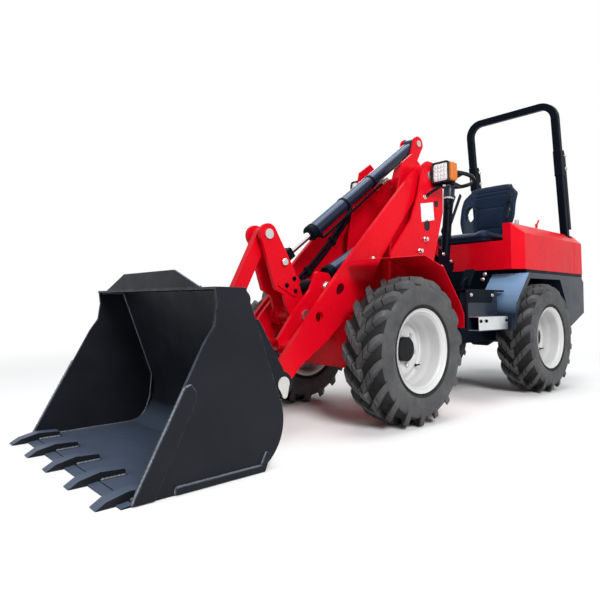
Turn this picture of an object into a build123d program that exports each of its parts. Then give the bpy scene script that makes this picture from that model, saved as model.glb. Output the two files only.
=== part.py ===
"""Mini wheel loader: rear frame with driver's place, front frame with boom, hinged between the axles.

Millimetres. X runs forward, Y to the left, Z up. Pieces are drawn with X measured from the
steering pivot, which is midway between the axles, and are moved at the end so that the origin
lies on the ground under the middle of the whole machine.
"""
import os
from math import asin, cos, degrees, pi, radians, sin

from build123d import *

# Fits and clearances
RUN = 0.05          # radial running clearance of a pin in its hole
FACE_GAP = 0.5      # between flat faces that turn against each other
SLACK = 2.0         # side play of an eye between its plates

# Wheels
WHEELBASE = 1565.0
TRACK = 880.0
TYRE_D = 780.0
TYRE_W = 265.0
TREAD_W = 215.0
CARCASS_R = 354.0               # between the lugs
WALL_R = 305.0                  # outer edge of the flat side wall
DISH_R = 285.0                  # inner edge of the flat side wall
LUG_COUNT = 18                  # on each side of the tread
LUG_TIP_W = 45.0
LUG_BASE_W = 94.0               # deep inside the carcass
LUG_LEAD = 152.0                # how far a lug slants round the tread
LUG_MIDDLE = 4.0                # from the tread's middle
LUG_INSET = 1.5                 # from the side wall
SHOULDER_CUT = (98.0, 33.0, 90.0)   # y where the lug's end slopes off, run and drop of the slope
RIM_SEAT_R = 195.0
RIM_FLANGE_R = 218.0
RIM_W = 234.0
RIM_FLANGE_T = 12.0
RIM_T = 9.0
DISC_OFFSET = -28.0
DISC_T = 12.0
HUB_HOLE_R = 65.0
AXLE_R = 55.0
DIFF_R = 88.0
DIFF_W = 190.0
HUB_FLANGE_R = 112.0
HUB_FLANGE_T = 26.0
HUB_SPIGOT = 38.0

# Steering pivot
STEER_PIN_R = 25.0
LUG_R = 65.0
LUG_T = 30.0
UPPER_LUG_Z = 620.0
LOWER_LUG_Z = 420.0

# Linkage points in the side view, X from the steering pivot and Z from the ground
BOOM_PIVOT = (290.0, 1445.0)
BUCKET_PIN = (1500.0, 262.0)
BELLCRANK_PIVOT = (1225.0, 565.0)
TILT_EYE = (1315.0, 850.0)
LINK_TOP = (1420.0, 990.0)
LINK_LOW = (1591.0, 651.0)
TILT_BASE = (108.0, 1740.0)
LIFT_BASE = (330.0, 1125.0)
LIFT_EYE = (1078.0, 724.0)

# Boom
ARM_IN_Y = 215.0
ARM_T = 25.0
ARM_BOSS_IN_Y = 187.0
ARM_BOSS_OUT_Y = 260.0
ARM_PIVOT_R = 75.0
ARM_END_R = 56.0
PIVOT_PIN_R = 30.0
BUCKET_PIN_R = 22.5
CARRIER_IN_Y = 120.0
CARRIER_T = 20.0
SIDE_TUBE = (1360.0, 405.0)
SIDE_TUBE_R = 44.0
BELLY_TUBE = (1275.0, 415.0)    # clear of the rocker when the bucket is raised and tipped
BELLY_TUBE_R = 34.0
BRACE = (1120.0, 628.0)
BRACE_R = 36.0

# Bellcrank, link and bucket carrier
CRANK_IN_Y = 45.0
CRANK_T = 20.0
LINK_HALF_W = 38.0
LINK_HALF_T = 20.0
LINK_PIN_R = 22.5
CRANK_PIN_R = 27.5
EAR_IN_Y = 70.0
EAR_T = 15.0
HITCH_IN_Y = 262.0
HITCH_T = 20.0

# Hydraulic cylinders
TILT_BARREL_R = 42.0
TILT_ROD_R = 22.0
TILT_BARREL_L = 1204.0
TILT_ROD_IN = 400.0
LIFT_BARREL_R = 47.0
LIFT_ROD_R = 25.0
LIFT_BARREL_L = 690.0
LIFT_ROD_IN = 570.0
FORK_NECK = 105.0
FORK_ROOT = 62.0
FORK_HALF_H = 28.0
FORK_IN_Y = 25.0
EYE_R = 44.0
BARREL_FOOT = 75.0
BARREL_END_T = 15.0
BARREL_NECK_R = 30.0
EYE_HALF_W = 38.0
EYE_PIN_R = 22.5
STEER_BARREL_R = 30.0
STEER_ROD_R = 15.0
STEER_BASE = (-560.0, -150.0)
STEER_EYE = (30.0, -150.0)
STEER_Z = 500.0
STEER_BARREL_L = 395.0
STEER_ROD_START = 175.0
STEER_NECK = 45.0
STEER_PIN_SMALL_R = 12.5
STEER_EYE_R = 26.0
STEER_EYE_HALF_W = 20.0
STEER_NECK_R = 18.0
STEER_WINDOW = 55.0
ROD_GAP = 0.5

# Front frame
PLATE_T = 15.0
CHASSIS_HALF_W = 220.0
CHASSIS_X = (75.0, 960.0)
CHASSIS_Z = (280.0, 560.0)
HINGE_PLATE_TOP = 700.0
TOWER_OUT_Y = 262.0
TOWER_IN_Y = 170.0
TOWER_FOOT_X = 315.0            # clear of the steps at full steer
TOWER_FRONT_X = 700.0
SPINE_X = 200.0
SPINE_T = 20.0
SPINE_TOP = 1500.0
BRACKET_IN_Y = 45.0
BRACKET_T = 15.0
FENDER_IN_Y = 277.0
FENDER_OUT_Y = 545.0
LAMP_X = 250.0
LAMP_Y = 350.0
LAMP_Z = 1455.0
LAMP_W = 125.0
LAMP_H = 135.0
LAMP_DEPTH = 60.0

# Bucket
BUCKET_HALF_W = 557.0
CHEEK_T = 12.0
SHELL_T = 9.0
BUCKET_LIP_X = 2330.0
BUCKET_HEEL = (1850.0, 0.0)
BUCKET_BACK = (1737.0, 250.0)
BUCKET_TOP_BACK = (1911.0, 695.0)
BUCKET_TOP_LIP_X = 2045.0
TOOTH_TIP_X = 2435.0
TOOTH_COUNT = 5
TOOTH_PITCH = 247.5
TOOTH_W = 52.0
GUARD_TOP_Z = 770.0
GUARD_TOP_HALF_W = 245.0
GUARD_LOW_HALF_W = 450.0

# Rear frame and body
REAR_PLATE_X = -120.0
REAR_TAIL_X = -1440.0
REAR_HALF_W = 220.0
REAR_Z = (360.0, 715.0)
TAIL_X = -1640.0
TOW_JAW_Z = (520.0, 680.0)
TOW_LIP_T = 40.0
TOW_JAW_DEPTH = 100.0
TOW_JAW_HALF_W = 65.0
TOW_PIN_R = 12.5
TOW_PIN_INSET = 50.0
TOW_BAY_X = -1530.0
TOW_BAY_HALF_W = 120.0
ENGINE_X = (-1330.0, -640.0)
ENGINE_Z = (500.0, 860.0)
WEIGHT_HALF_W = 480.0
WEIGHT_TOP = 853.0
FLOOR_T = 12.0
FLOOR_HALF_W = 385.0
FLOOR_X = (-430.0, -10.0)
STEP_OUT_Y = 460.0
STEP_X = (-330.0, 50.0)
STEP_Z = (458.0, 545.0)
GUARD_HALF_W = 500.0
HOOD_HALF_W = 480.0
HOOD_Z = (880.0, 1215.0)
HOOD_X = (-1460.0, -500.0)
TAIL_COVER_X = -1620.0
HOOD_T = 6.0
HOOD_SHOULDER = 75.0
HOOD_CORNER = 70.0
SEAL_W = 25.0
SEAL_INSET = 2.0
TANK_X = (-585.0, -500.0)
TANK_HALF_W = 218.0
SEAT_RECESS_X = -960.0
SEAT_RECESS_HALF_W = 350.0
SEAT_Z = 1090.0
SEAT_HALF_W = 240.0
COLUMN_FOOT = (-255.0, 727.0)
COLUMN_TOP = (-368.0, 1530.0)
COLUMN_R = 34.0
STEER_WHEEL_R = 175.0
STEER_WHEEL_GRIP_R = 15.0
WHEEL_LIFT = 45.0
ROPS_HALF_W = 425.0
ROPS_TUBE = 60.0
ROPS_FOOT_X = -1545.0
ROPS_LEAN = 7.0
ROPS_FOLD_L = 790.0
ROPS_TOP_L = 1510.0

FLOOR_Z = REAR_Z[1]
AXLE_X = WHEELBASE / 2
WHEEL_Y = TRACK / 2
WHEEL_R = TYRE_D / 2
TYRE_FACETS = LUG_COUNT
LUG_CORNER = asin((LUG_LEAD + LUG_TIP_W) / 2 / WHEEL_R)   # from a lug's middle to its furthest corner
LUG_TIP_Z = WHEEL_R * cos(LUG_CORNER)
LUG_BASE_Z = WALL_R - 15
ORIGIN_X = (TOOTH_TIP_X + TAIL_X) / 2


def prism(sketch, low_y, high_y):
    """A side-view sketch, X and Z, pushed out between two Y values."""
    return extrude(Plane.XZ.offset(-high_y) * sketch, amount=high_y - low_y, dir=(0, -1, 0))


def both_sides(sketch, in_y, out_y):
    """The same plate on the left and on the right."""
    return prism(sketch, in_y, out_y) + prism(sketch, -out_y, -in_y)


def slab(sketch, low_z, high_z):
    """A plan-view sketch, X and Y, pushed up between two heights."""
    return extrude(Plane.XY.offset(low_z) * sketch, amount=high_z - low_z, dir=(0, 0, 1))


def block(x, y, z):
    """A box between pairs of coordinates."""
    return Pos(x[0], y[0], z[0]) * Box(x[1] - x[0], y[1] - y[0], z[1] - z[0], align=(Align.MIN,) * 3)


def outline(*points):
    """A face inside a closed run of points, given in either sense of rotation."""
    turns = zip(points, points[1:] + points[:1])
    area = sum(a[0] * b[1] - b[0] * a[1] for a, b in turns)
    return Polygon(*(points if area > 0 else points[::-1]), align=None)


def disc(point, radius):
    return Pos(*point) * Circle(radius)


def pin(point, radius, low_y, high_y):
    """A round pin across the machine at a side-view point."""
    return prism(disc(point, radius), low_y, high_y)


def rod(start, end, radius):
    """A round bar between two points in space."""
    way = Vector(*end) - Vector(*start)
    return extrude(Plane(origin=start, z_dir=way) * Circle(radius), amount=way.length)


def along(start, end, distance):
    """The side-view point that lies a distance from start towards end."""
    way = Vector(end[0] - start[0], end[1] - start[1])
    way = way * (distance / way.length)
    return (start[0] + way.X, start[1] + way.Y)


def bar(start, end, half):
    """The side view of a flat bar between two points, square at its ends."""
    way = Vector(end[0] - start[0], end[1] - start[1]).normalized() * half
    return outline((start[0] - way.Y, start[1] + way.X), (end[0] - way.Y, end[1] + way.X),
                   (end[0] + way.Y, end[1] - way.X), (start[0] + way.Y, start[1] - way.X))


def at_y(point, y):
    return (point[0], y, point[1])


# Wheels and axles

def facet_ring(*sections):
    """A many-sided solid about the Y axis through sections given as (y, radius)."""
    faces = [Plane.XZ.offset(-y) * RegularPolygon(r, TYRE_FACETS) for y, r in sections]
    return loft(faces, ruled=True)


def lug():
    """One lug on the left half of the tread, at the top: a slanted bar cut off along the shoulder."""
    tip_half, base_half = LUG_TIP_W / 2, LUG_BASE_W / 2
    section = outline((-tip_half, LUG_TIP_Z), (tip_half, LUG_TIP_Z), (base_half, LUG_BASE_Z), (-base_half, LUG_BASE_Z))
    way = Vector(-LUG_LEAD, TYRE_W / 2 - LUG_INSET - LUG_MIDDLE, 0)
    bar_shape = extrude(Plane.XZ.offset(-LUG_MIDDLE) * Pos(LUG_LEAD / 2, 0) * section, amount=way.length,
                        dir=tuple(way.normalized()))
    slope = Plane(origin=(0, SHOULDER_CUT[0], LUG_TIP_Z), z_dir=(0, SHOULDER_CUT[2], SHOULDER_CUT[1]))
    return split(bar_shape, bisect_by=slope, keep=Keep.BOTTOM)


def tyre():
    """Many-sided tyre about the Y axis, with slanted lugs that meet in a staggered arrow, one tip at the ground."""
    half = TYRE_W / 2
    bead = RIM_W / 2 - RIM_FLANGE_T
    seat = RIM_SEAT_R / cos(pi / TYRE_FACETS)
    carcass = facet_ring((-half, WALL_R), (-TREAD_W / 2, CARCASS_R), (TREAD_W / 2, CARCASS_R), (half, WALL_R))
    for side in (1, -1):
        carcass -= facet_ring((side * half, DISH_R), (side * bead, RIM_FLANGE_R + 6))
    carcass -= facet_ring((-half, seat), (half, seat))
    left = lug()
    right = mirror(left, Plane.XZ)
    pitch = 360 / LUG_COUNT
    lugs = [Rot(0, i * pitch, 0) * left for i in range(LUG_COUNT)]
    lugs += [Rot(0, (i + 0.5) * pitch, 0) * right for i in range(LUG_COUNT)]
    return Rot(0, -degrees(LUG_CORNER), 0) * (carcass + lugs)


def rim():
    """A deep dished rim: barrel, two flanges, a set-back disc with a hub hole."""
    half = RIM_W / 2
    bead = half - RIM_FLANGE_T
    barrel_r = RIM_SEAT_R - RIM_T
    barrel = revolve(outline((barrel_r, -half), (RIM_FLANGE_R, -half), (RIM_FLANGE_R, -bead),
                             (RIM_SEAT_R, -bead), (RIM_SEAT_R, bead), (RIM_FLANGE_R, bead),
                             (RIM_FLANGE_R, half), (barrel_r, half)), Axis.Y)
    low = DISC_OFFSET
    dish = revolve(outline((HUB_HOLE_R, low), (HUB_HOLE_R, low + DISC_T), (barrel_r - 50, low + DISC_T),
                           (barrel_r, low - 18 + DISC_T), (barrel_r, low - 18), (barrel_r - 50, low)), Axis.Y)
    return barrel + dish


def axle():
    """Differential, tubes, and at each end a hub flange with the spigot that the wheel turns on."""
    flange_out = WHEEL_Y + DISC_OFFSET - FACE_GAP
    half = [(0, 0), (DIFF_R, 0), (DIFF_R, DIFF_W / 2 - 40), (AXLE_R + 8, DIFF_W / 2), (AXLE_R, DIFF_W / 2 + 20),
            (AXLE_R, flange_out - HUB_FLANGE_T - 60), (AXLE_R + 30, flange_out - HUB_FLANGE_T),
            (HUB_FLANGE_R, flange_out - HUB_FLANGE_T), (HUB_FLANGE_R, flange_out),
            (HUB_HOLE_R - RUN, flange_out), (HUB_HOLE_R - RUN, flange_out + HUB_SPIGOT), (0, flange_out + HUB_SPIGOT)]
    one = revolve(outline(*half), Axis.Y)
    return one + mirror(one, Plane.XZ)


# Boom and bucket linkage

def arm_sketch():
    px, pz = BOOM_PIVOT
    bx, bz = BUCKET_PIN
    body = outline((px - 40, pz + 64), (px + 120, pz + 18), (950, 935), (1190, 685), (bx + 34, bz + 46),
                   (bx - 30, bz - 47), (bx - 84, bz + 4), (1345, 334), (1167, 446), (855, 700), (742, 885),
                   (px + 60, pz - 92), (px - 46, pz - 60))
    return body + disc(BOOM_PIVOT, ARM_PIVOT_R) + disc(BUCKET_PIN, ARM_END_R)


def carrier_sketch():
    body = outline((1030, 755), (1062, 798), (1150, 806), (1198, 706), (1325, 573), (1420, 450),
                   (1404, 405), (1318, 390), (1240, 450), (1090, 540), (1000, 660))
    return fillet(body.vertices(), 18)


def boom():
    """Two arms, the two inner carrier plates and the tubes between them, welded together."""
    arm_out = ARM_IN_Y + ARM_T
    weld = both_sides(arm_sketch(), ARM_IN_Y, arm_out)
    weld += both_sides(disc(BOOM_PIVOT, ARM_PIVOT_R), ARM_BOSS_IN_Y, ARM_BOSS_OUT_Y)
    weld += both_sides(disc(BUCKET_PIN, ARM_END_R), ARM_BOSS_IN_Y, ARM_BOSS_OUT_Y)
    weld += both_sides(carrier_sketch(), CARRIER_IN_Y, CARRIER_IN_Y + CARRIER_T)
    weld += pin(BELLY_TUBE, BELLY_TUBE_R, -ARM_IN_Y, ARM_IN_Y)
    weld += both_sides(disc(SIDE_TUBE, SIDE_TUBE_R), CARRIER_IN_Y, ARM_IN_Y)
    weld += both_sides(disc(BRACE, BRACE_R), CARRIER_IN_Y, ARM_IN_Y)
    weld -= pin(BOOM_PIVOT, PIVOT_PIN_R + RUN, -400, 400)
    weld -= pin(BUCKET_PIN, BUCKET_PIN_R + RUN, -400, 400)
    weld -= pin(BELLCRANK_PIVOT, CRANK_PIN_R + RUN, -400, 400)
    return weld


def crank_sketch():
    body = outline((1368, 1010), (1420, 1045), (1472, 985), (1374, 704), (1318, 680), (1300, 625),
                   (1262, 530), (1190, 530), (1172, 640), (1240, 805))
    return fillet(body.vertices(), 14) + disc(LINK_TOP, 55) + disc(BELLCRANK_PIVOT, 52)


def bellcrank():
    """Two rocker plates on one pivot tube, with boss rings outside at the tilt pin."""
    out_y = CRANK_IN_Y + CRANK_T
    tube_half = CARRIER_IN_Y - SLACK
    weld = both_sides(crank_sketch(), CRANK_IN_Y, out_y)
    weld += pin(BELLCRANK_PIVOT, 46, -tube_half, tube_half)
    weld += both_sides(disc(TILT_EYE, EYE_PIN_R), out_y, out_y + 6)
    weld -= pin(BELLCRANK_PIVOT, CRANK_PIN_R + RUN, -400, 400)
    weld -= pin(LINK_TOP, LINK_PIN_R + RUN, -400, 400)
    return weld


def link():
    """Flat bar from the rocker down to the bucket, round at both ends, its lower pin stub with it."""
    side = bar(LINK_TOP, LINK_LOW, LINK_HALF_W) + disc(LINK_TOP, LINK_HALF_W) + disc(LINK_LOW, LINK_HALF_W)
    weld = prism(side, -LINK_HALF_T, LINK_HALF_T)
    weld += pin(LINK_TOP, 34, -CRANK_IN_Y + SLACK, CRANK_IN_Y - SLACK)
    weld += pin(LINK_LOW, LINK_PIN_R, -EAR_IN_Y + SLACK, EAR_IN_Y - SLACK)
    return weld - pin(LINK_TOP, LINK_PIN_R + RUN, -400, 400)


def link_pin():
    out_y = CRANK_IN_Y + CRANK_T
    shaft = pin(LINK_TOP, LINK_PIN_R, -out_y, out_y)
    return shaft + both_sides(disc(LINK_TOP, LINK_PIN_R + 4), out_y + FACE_GAP, out_y + 8) \
        + both_sides(disc(LINK_TOP, LINK_PIN_R), out_y, out_y + 8)


def bellcrank_pin():
    out_y = CARRIER_IN_Y + CARRIER_T
    shaft = pin(BELLCRANK_PIVOT, CRANK_PIN_R, -out_y - 10, out_y + 10)
    return shaft + both_sides(disc(BELLCRANK_PIVOT, CRANK_PIN_R + 8), out_y + FACE_GAP, out_y + 10)


def bucket_pins():
    """One pin a side, with the flag plate that keeps it in the carrier's outer ear."""
    flag = disc(BUCKET_PIN, 34) + disc((BUCKET_PIN[0] - 8, BUCKET_PIN[1] - 52), 14)
    flag += outline((BUCKET_PIN[0] - 33, BUCKET_PIN[1] - 8), (BUCKET_PIN[0] - 22, BUCKET_PIN[1] - 54),
                    (BUCKET_PIN[0] + 5, BUCKET_PIN[1] - 56), (BUCKET_PIN[0] + 33, BUCKET_PIN[1] - 8))
    out_y = HITCH_IN_Y + HITCH_T
    shafts = both_sides(disc(BUCKET_PIN, BUCKET_PIN_R), ARM_BOSS_IN_Y - 8, out_y + 8)
    return shafts + both_sides(flag, out_y + FACE_GAP, out_y + 8)


# Bucket

def bucket_back_curve():
    """The outside line of floor, heel and back as one sketch edge chain."""
    heel = Line((BUCKET_LIP_X, 0), BUCKET_HEEL)
    bend = ThreePointArc(BUCKET_HEEL, (1764, 62), BUCKET_BACK)
    back = Line(BUCKET_BACK, BUCKET_TOP_BACK)
    top = Line(BUCKET_TOP_BACK, (BUCKET_TOP_LIP_X, BUCKET_TOP_BACK[1]))
    return heel, bend, back, top


def cheek_sketch():
    heel, bend, back, top = bucket_back_curve()
    front = Polyline((BUCKET_TOP_LIP_X, BUCKET_TOP_BACK[1]), (2036, 630), (2046, 552), (2085, 495),
                     (2323, 35), (BUCKET_LIP_X, 0))
    return make_face(Curve() + [heel, bend, back, top, front])


def bucket_shell():
    """Rolled shell, cheeks and the carrier's ears, welded together."""
    tx, tz = BUCKET_TOP_BACK
    inner = make_face(Curve() + [
        Line((BUCKET_LIP_X + 400, SHELL_T), (BUCKET_HEEL[0] + 4, SHELL_T)),
        ThreePointArc((BUCKET_HEEL[0] + 4, SHELL_T), (1771, 69), (BUCKET_BACK[0] + SHELL_T, BUCKET_BACK[1] - 3)),
        Line((BUCKET_BACK[0] + SHELL_T, BUCKET_BACK[1] - 3), (tx + 6, tz - SHELL_T)),
        Line((tx + 6, tz - SHELL_T), (BUCKET_LIP_X + 400, tz - SHELL_T)),
        Line((BUCKET_LIP_X + 400, tz - SHELL_T), (BUCKET_LIP_X + 400, SHELL_T))])
    heel, bend, back, top = bucket_back_curve()
    close = Polyline((BUCKET_TOP_LIP_X, tz), (BUCKET_LIP_X, 0))
    sheet = make_face(Curve() + [heel, bend, back, top, close]) - inner
    shell = prism(sheet, -BUCKET_HALF_W, BUCKET_HALF_W)
    shell += both_sides(cheek_sketch(), BUCKET_HALF_W - CHEEK_T, BUCKET_HALF_W)
    outer_ear = outline((BUCKET_PIN[0] - 10, BUCKET_PIN[1] + 55), (1640, 560), (1850, 620), (1800, 300),
                        (1745, 130), (BUCKET_PIN[0] + 20, BUCKET_PIN[1] - 52))
    outer_ear += disc(BUCKET_PIN, ARM_END_R)
    mid_ear = outline((LINK_LOW[0] - 26, LINK_LOW[1] + 38), (1850, 694), (1910, 690), (1770, 360),
                      (LINK_LOW[0] + 10, LINK_LOW[1] - 50)) + disc(LINK_LOW, 46)
    hollow = prism(make_face(Curve() + [heel, bend, back, top, close]), -BUCKET_HALF_W, BUCKET_HALF_W)
    ears = both_sides(outer_ear, HITCH_IN_Y, HITCH_IN_Y + HITCH_T)
    ears += both_sides(mid_ear, EAR_IN_Y, EAR_IN_Y + EAR_T)
    shell += ears - hollow
    return shell - pin(BUCKET_PIN, BUCKET_PIN_R + RUN, -400, 400)


def cutting_edge():
    """Wear strip under the lip of the floor."""
    strip = outline((BUCKET_LIP_X, 0), (BUCKET_LIP_X, SHELL_T), (BUCKET_LIP_X + 40, SHELL_T - 4), (BUCKET_LIP_X + 40, 0))
    return prism(strip, -BUCKET_HALF_W, BUCKET_HALF_W)


def bucket_teeth():
    """Curved teeth on top of the lip, one shape repeated across the width."""
    profile = outline((2230, SHELL_T + 0.0), (2236, 34), (2330, 40), (2400, 24), (TOOTH_TIP_X, 3), (TOOTH_TIP_X - 4, 0),
                      (2390, 0), (BUCKET_LIP_X + 40, 0), (BUCKET_LIP_X + 40, SHELL_T - 4), (BUCKET_LIP_X, SHELL_T))
    first = -(TOOTH_COUNT - 1) / 2
    middles = [(first + i) * TOOTH_PITCH for i in range(TOOTH_COUNT)]
    return [prism(profile, y - TOOTH_W / 2, y + TOOTH_W / 2) for y in middles]


def spill_guard():
    """Low trapezoid screen standing on the front of the bucket's top."""
    z = BUCKET_TOP_BACK[1]
    shape = outline((-GUARD_LOW_HALF_W, z), (GUARD_LOW_HALF_W, z), (GUARD_TOP_HALF_W, GUARD_TOP_Z),
                    (-GUARD_TOP_HALF_W, GUARD_TOP_Z))
    return extrude(Plane.YZ.offset(BUCKET_TOP_LIP_X - SHELL_T) * shape, amount=SHELL_T)


# Cylinders

def cylinder_barrel(base, eye, length, radius, rod_r):
    """Base eye, neck and bored round barrel of a hydraulic cylinder in the side view's middle plane."""
    foot, mouth = along(base, eye, BARREL_FOOT), along(base, eye, length)
    bore_end = along(base, eye, BARREL_FOOT + BARREL_END_T)
    body = pin(base, EYE_R, -EYE_HALF_W, EYE_HALF_W)
    body += rod(at_y(foot, 0), at_y(mouth, 0), radius)
    body += rod(at_y(base, 0), at_y(foot, 0), BARREL_NECK_R)
    body -= rod(at_y(bore_end, 0), at_y(mouth, 0), rod_r + ROD_GAP)
    return body - pin(base, EYE_PIN_R + RUN, -EYE_HALF_W, EYE_HALF_W)


def tilt_barrel():
    return cylinder_barrel(TILT_BASE, TILT_EYE, TILT_BARREL_L, TILT_BARREL_R, TILT_ROD_R)


def tilt_rod():
    """Rod from inside the barrel, with a forked end that straddles the link when the bucket rolls back."""
    reach = (Vector(*TILT_EYE) - Vector(*TILT_BASE)).length
    start = along(TILT_BASE, TILT_EYE, TILT_BARREL_L - TILT_ROD_IN)
    neck = along(TILT_BASE, TILT_EYE, reach - FORK_NECK)
    root = along(TILT_BASE, TILT_EYE, reach - FORK_ROOT)
    body = rod(at_y(start, 0), at_y(neck, 0), TILT_ROD_R)
    body += prism(bar(neck, root, FORK_HALF_H), -EYE_HALF_W, EYE_HALF_W)
    cheek = bar(root, TILT_EYE, FORK_HALF_H) + disc(TILT_EYE, FORK_HALF_H)
    return body + both_sides(cheek, FORK_IN_Y, EYE_HALF_W)


def lift_barrel():
    return cylinder_barrel(LIFT_BASE, LIFT_EYE, LIFT_BARREL_L, LIFT_BARREL_R, LIFT_ROD_R)


def lift_rod():
    """Rod from inside the barrel to its eye."""
    start = along(LIFT_BASE, LIFT_EYE, LIFT_BARREL_L - LIFT_ROD_IN)
    return rod(at_y(start, 0), at_y(LIFT_EYE, 0), LIFT_ROD_R) + pin(LIFT_EYE, EYE_R, -EYE_HALF_W, EYE_HALF_W)


def steer_barrel():
    """Steering cylinder barrel, lying along the rear frame with its eye upright."""
    x, y = STEER_BASE
    body = rod((x + STEER_NECK, y, STEER_Z), (x + STEER_BARREL_L, y, STEER_Z), STEER_BARREL_R)
    body += rod((x, y, STEER_Z), (x + STEER_NECK, y, STEER_Z), STEER_NECK_R)
    body += Pos(x, y, STEER_Z) * Cylinder(STEER_EYE_R, 2 * STEER_EYE_HALF_W)
    body -= rod((x + STEER_NECK + 20, y, STEER_Z), (x + STEER_BARREL_L + 10, y, STEER_Z), STEER_ROD_R + ROD_GAP)
    return body - Pos(x, y, STEER_Z) * Cylinder(STEER_PIN_SMALL_R + RUN, 100)


def steer_rod():
    """Steering rod with the eye that lies under the front frame's bracket."""
    way = Vector(STEER_EYE[0] - STEER_BASE[0], 0)
    start = (STEER_BASE[0] + STEER_ROD_START, STEER_BASE[1], STEER_Z)
    end = (STEER_BASE[0] + way.length, STEER_BASE[1], STEER_Z)
    return rod(start, end, STEER_ROD_R) + Pos(*end) * Cylinder(STEER_EYE_R, 2 * STEER_EYE_HALF_W)


# Front frame

def tower_sketch():
    low = CHASSIS_Z[1] - PLATE_T
    body = outline((TOWER_FOOT_X, low), (TOWER_FOOT_X, 735), (258, 918), (152, 1227), (150, 1372), (205, 1500),
                   (258, 1535), (322, 1535), (362, 1508), (415, 1307), (489, 1145), (692, 921), (TOWER_FRONT_X, low))
    return fillet(body.vertices().group_by(Axis.Y)[-1], 30)


def inner_tower_sketch():
    return outline((SPINE_X, 545), (620, 545), (560, 1100), (455, 1520), (350, 1595), (SPINE_X, 1500))


def front_frame():
    """Axle box, hinge plate with its lugs, tower plates, spine and cylinder brackets, welded together."""
    x, z = CHASSIS_X, CHASSIS_Z
    w = CHASSIS_HALF_W
    out_y = TOWER_OUT_Y + PLATE_T
    weld = block(x, (-w, w), (z[0], z[0] + PLATE_T))
    weld += block(x, (-w, w), (z[1] - PLATE_T, z[1]))
    weld += block((TOWER_FOOT_X, TOWER_FRONT_X), (-out_y, out_y), (z[1] - PLATE_T, z[1]))
    weld += block(x, (w - PLATE_T, w), z) + block(x, (-w, PLATE_T - w), z)
    weld += block((x[1] - PLATE_T, x[1]), (-w, w), z)
    weld += block((x[0], x[0] + 20), (-w, w), (z[0], HINGE_PLATE_TOP))
    weld += both_sides(tower_sketch(), TOWER_OUT_Y, out_y)
    weld += both_sides(inner_tower_sketch(), TOWER_IN_Y, TOWER_IN_Y + PLATE_T)
    weld += block((SPINE_X, SPINE_X + SPINE_T), (-TOWER_IN_Y, TOWER_IN_Y), (z[1] - PLATE_T, SPINE_TOP))
    low_ear = outline((SPINE_X, 1020), (LIFT_BASE[0], 1072), (LIFT_BASE[0], 1178), (SPINE_X, 1240)) + disc(LIFT_BASE, 53)
    top_ear = outline((SPINE_X + SPINE_T, 1340), (SPINE_X + 75, 1440), (TILT_BASE[0] + 44, TILT_BASE[1] + 24),
                      (TILT_BASE[0] - 48, TILT_BASE[1] - 16), (SPINE_X, 1480)) + disc(TILT_BASE, 52)
    weld += both_sides(low_ear, BRACKET_IN_Y, BRACKET_IN_Y + BRACKET_T)
    weld += both_sides(top_ear, BRACKET_IN_Y, BRACKET_IN_Y + BRACKET_T)
    lug = disc((0, 0), LUG_R) + outline((0, LUG_R), (x[0] + 10, LUG_R + 40), (x[0] + 10, -LUG_R - 40), (0, -LUG_R))
    upper = UPPER_LUG_Z + LUG_T + FACE_GAP
    lower = LOWER_LUG_Z - FACE_GAP
    weld += slab(lug, upper, upper + LUG_T) + slab(lug, lower - LUG_T, lower)
    tongue = disc(STEER_EYE, STEER_EYE_R + 4) + outline(
        (STEER_EYE[0], STEER_EYE[1] - 30), (x[0] + 10, STEER_EYE[1] - 40), (x[0] + 10, STEER_EYE[1] + 40),
        (STEER_EYE[0], STEER_EYE[1] + 30))
    tongue_z = STEER_Z + STEER_EYE_HALF_W + SLACK
    weld += slab(tongue, tongue_z, tongue_z + PLATE_T)
    window = (STEER_EYE[1] - STEER_WINDOW, STEER_EYE[1] + STEER_WINDOW)
    weld -= block((x[0] - 1, x[0] + 21), window, (STEER_Z - STEER_WINDOW, tongue_z))
    weld -= pin((AXLE_X, WHEEL_R), AXLE_R + RUN, -400, 400)
    weld -= pin((AXLE_X, WHEEL_R), DIFF_R + 1, -DIFF_W / 2 - 1, DIFF_W / 2 + 1)
    weld -= pin(BOOM_PIVOT, PIVOT_PIN_R, -400, 400)
    weld -= pin(TILT_BASE, EYE_PIN_R, -100, 100) + pin(LIFT_BASE, EYE_PIN_R, -100, 100)
    weld -= Cylinder(STEER_PIN_R + RUN, 2000)
    return weld


def boom_pivot_pins():
    return both_sides(disc(BOOM_PIVOT, PIVOT_PIN_R), TOWER_IN_Y - 6, TOWER_OUT_Y + PLATE_T + 6)


def cylinder_base_pins():
    half = BRACKET_IN_Y + BRACKET_T + 6
    return [pin(TILT_BASE, EYE_PIN_R, -half, half), pin(LIFT_BASE, EYE_PIN_R, -half, half)]


def front_fenders():
    """Folded sheet over each front wheel, welded to the tower's outer plate."""
    line = [(1035, 862), (740, 893), (565, 838), (405, 643), (362, 572), (362, 494)]
    inner = [(1036, 857), (741, 888), (568, 834), (409, 640), (367, 571), (367, 494)]
    return both_sides(outline(*line, *reversed(inner)), FENDER_IN_Y, FENDER_OUT_Y)


def headlamps():
    """Housing of each work lamp on a flat bracket beside the tower."""
    shapes = []
    for side in (1, -1):
        body = Pos(LAMP_X, side * LAMP_Y, LAMP_Z) * Box(LAMP_DEPTH, LAMP_W, LAMP_H)
        body = fillet(body.edges().filter_by(Axis.X), 18)
        ys = sorted((side * (TOWER_OUT_Y + PLATE_T), side * LAMP_Y))
        low = LAMP_Z - LAMP_H / 2
        shapes.append(body + block((LAMP_X - 20, LAMP_X + 20), ys, (low - 8, low)))
    return shapes


# Rear frame and body

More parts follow.
